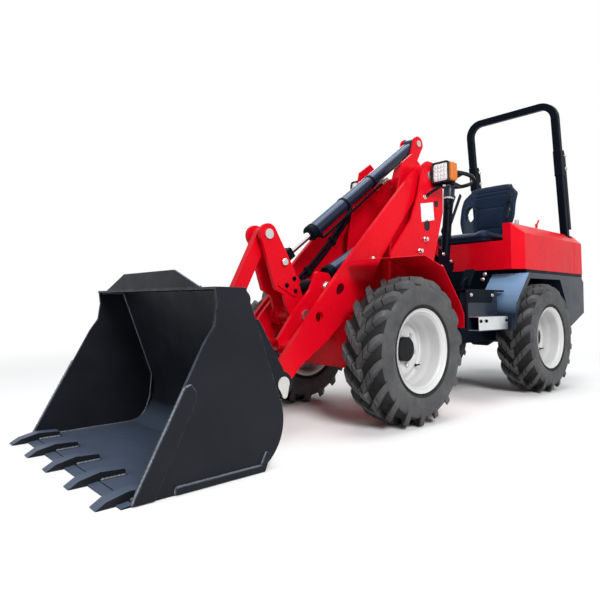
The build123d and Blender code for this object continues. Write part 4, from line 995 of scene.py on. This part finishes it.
# Camera, floor and light

camera = bpy.data.objects.new("camera", bpy.data.cameras.new("camera"))
bpy.context.scene.collection.objects.link(camera)
bpy.context.scene.camera = camera
camera.data.sensor_fit = "HORIZONTAL"
camera.data.sensor_width = 36.0
camera.data.lens = 31.17
camera.data.shift_x = -0.0168
camera.data.shift_y = -0.0598
camera.data.clip_end = 200
yaw, pitch, roll = radians(227.47), radians(4.23), radians(0.12)
ahead = Vector((cos(yaw) * cos(pitch), sin(yaw) * cos(pitch), sin(pitch)))
aim = ahead.to_track_quat("-Z", "Y").to_matrix().to_4x4()
camera.matrix_world = Matrix.Translation((2.658, 2.162, 0.638)) @ aim @ Matrix.Rotation(roll, 4, "Z")


def lamp(name, spot, aim, size, power):
    """A soft white lamp at a spot, aimed at a point."""
    light = bpy.data.lights.new(name, "AREA")
    light.shape = "RECTANGLE"
    light.size, light.size_y = size
    light.energy = power
    obj = bpy.data.objects.new(name, light)
    bpy.context.scene.collection.objects.link(obj)
    turn = (Vector(aim) - Vector(spot)).to_track_quat("-Z", "Y").to_matrix().to_4x4()
    obj.matrix_world = Matrix.Translation(spot) @ turn


lamp("key", (3.0, 6.5, 5.5), (0, 0, 0.6), (3.0, 3.0), 640)
lamp("front", (7.5, 0.5, 3.0), (0.4, 0, 0.6), (3.0, 2.5), 130)
lamp("back", (-6.0, -4.0, 5.0), (0, 0, 0.8), (5.0, 4.0), 220)
lamp("top", (-0.5, 0.5, 7.0), (0, 0, 0), (5.0, 4.0), 260)


def white_rays(tree):
    """One for rays that see the background straight, mirrored or through glass, else nought."""
    paths = add(tree, "ShaderNodeLightPath")
    last = paths.outputs["Is Camera Ray"]
    for kind in ("Is Glossy Ray", "Is Transmission Ray"):
        either = add(tree, "ShaderNodeMath", operation="MAXIMUM")
        tree.links.new(last, either.inputs[0])
        tree.links.new(paths.outputs[kind], either.inputs[1])
        last = either.outputs["Value"]
    return last


world = bpy.data.worlds.new("studio")
bpy.context.scene.world = world
world.use_nodes = True
tree = world.node_tree
level = add(tree, "ShaderNodeMapRange")
level.inputs["To Min"].default_value = 0.24
level.inputs["To Max"].default_value = 1.0
tree.links.new(white_rays(tree), level.inputs["Value"])
tree.links.new(level.outputs["Result"], tree.nodes["Background"].inputs["Strength"])
cast = add(tree, "ShaderNodeMix", data_type="RGBA")
cast.inputs[6].default_value = (0.90, 0.96, 1.0, 1)
cast.inputs[7].default_value = (1, 1, 1, 1)
tree.links.new(level.inputs["Value"].links[0].from_socket, cast.inputs[0])
tree.links.new(cast.outputs[2], tree.nodes["Background"].inputs["Color"])

bm = bmesh.new()
bmesh.ops.create_grid(bm, x_segments=1, y_segments=1, size=40)
floor_data = bpy.data.meshes.new("floor")
bm.to_mesh(floor_data)
bm.free()
floor = bpy.data.objects.new("floor", floor_data)
bpy.context.scene.collection.objects.link(floor)
mat, tree, bsdf = new_material("floor")
bsdf.inputs["Base Color"].default_value = (0.88, 0.88, 0.88, 1)
bsdf.inputs["Roughness"].default_value = 0.9
bsdf.inputs["Specular IOR Level"].default_value = 0.1
coord = add(tree, "ShaderNodeTexCoord")
away = add(tree, "ShaderNodeVectorMath", operation="LENGTH")
tree.links.new(coord.outputs["Object"], away.inputs[0])
fade = add(tree, "ShaderNodeMapRange", interpolation_type="SMOOTHSTEP")
fade.inputs["From Min"].default_value = 2.0
fade.inputs["From Max"].default_value = 5.5
tree.links.new(away.outputs["Value"], fade.inputs["Value"])
share = add(tree, "ShaderNodeMath", operation="MULTIPLY")
tree.links.new(fade.outputs["Result"], share.inputs[0])
tree.links.new(white_rays(tree), share.inputs[1])
plain = add(tree, "ShaderNodeEmission", Strength=1.0)
blend = add(tree, "ShaderNodeMixShader")
tree.links.new(share.outputs["Value"], blend.inputs[0])
tree.links.new(bsdf.outputs["BSDF"], blend.inputs[1])
tree.links.new(plain.outputs["Emission"], blend.inputs[2])
tree.links.new(blend.outputs["Shader"], tree.nodes["Material Output"].inputs["Surface"])
floor_data.materials.append(mat)
bpy.context.scene.view_settings.view_transform = "Standard"
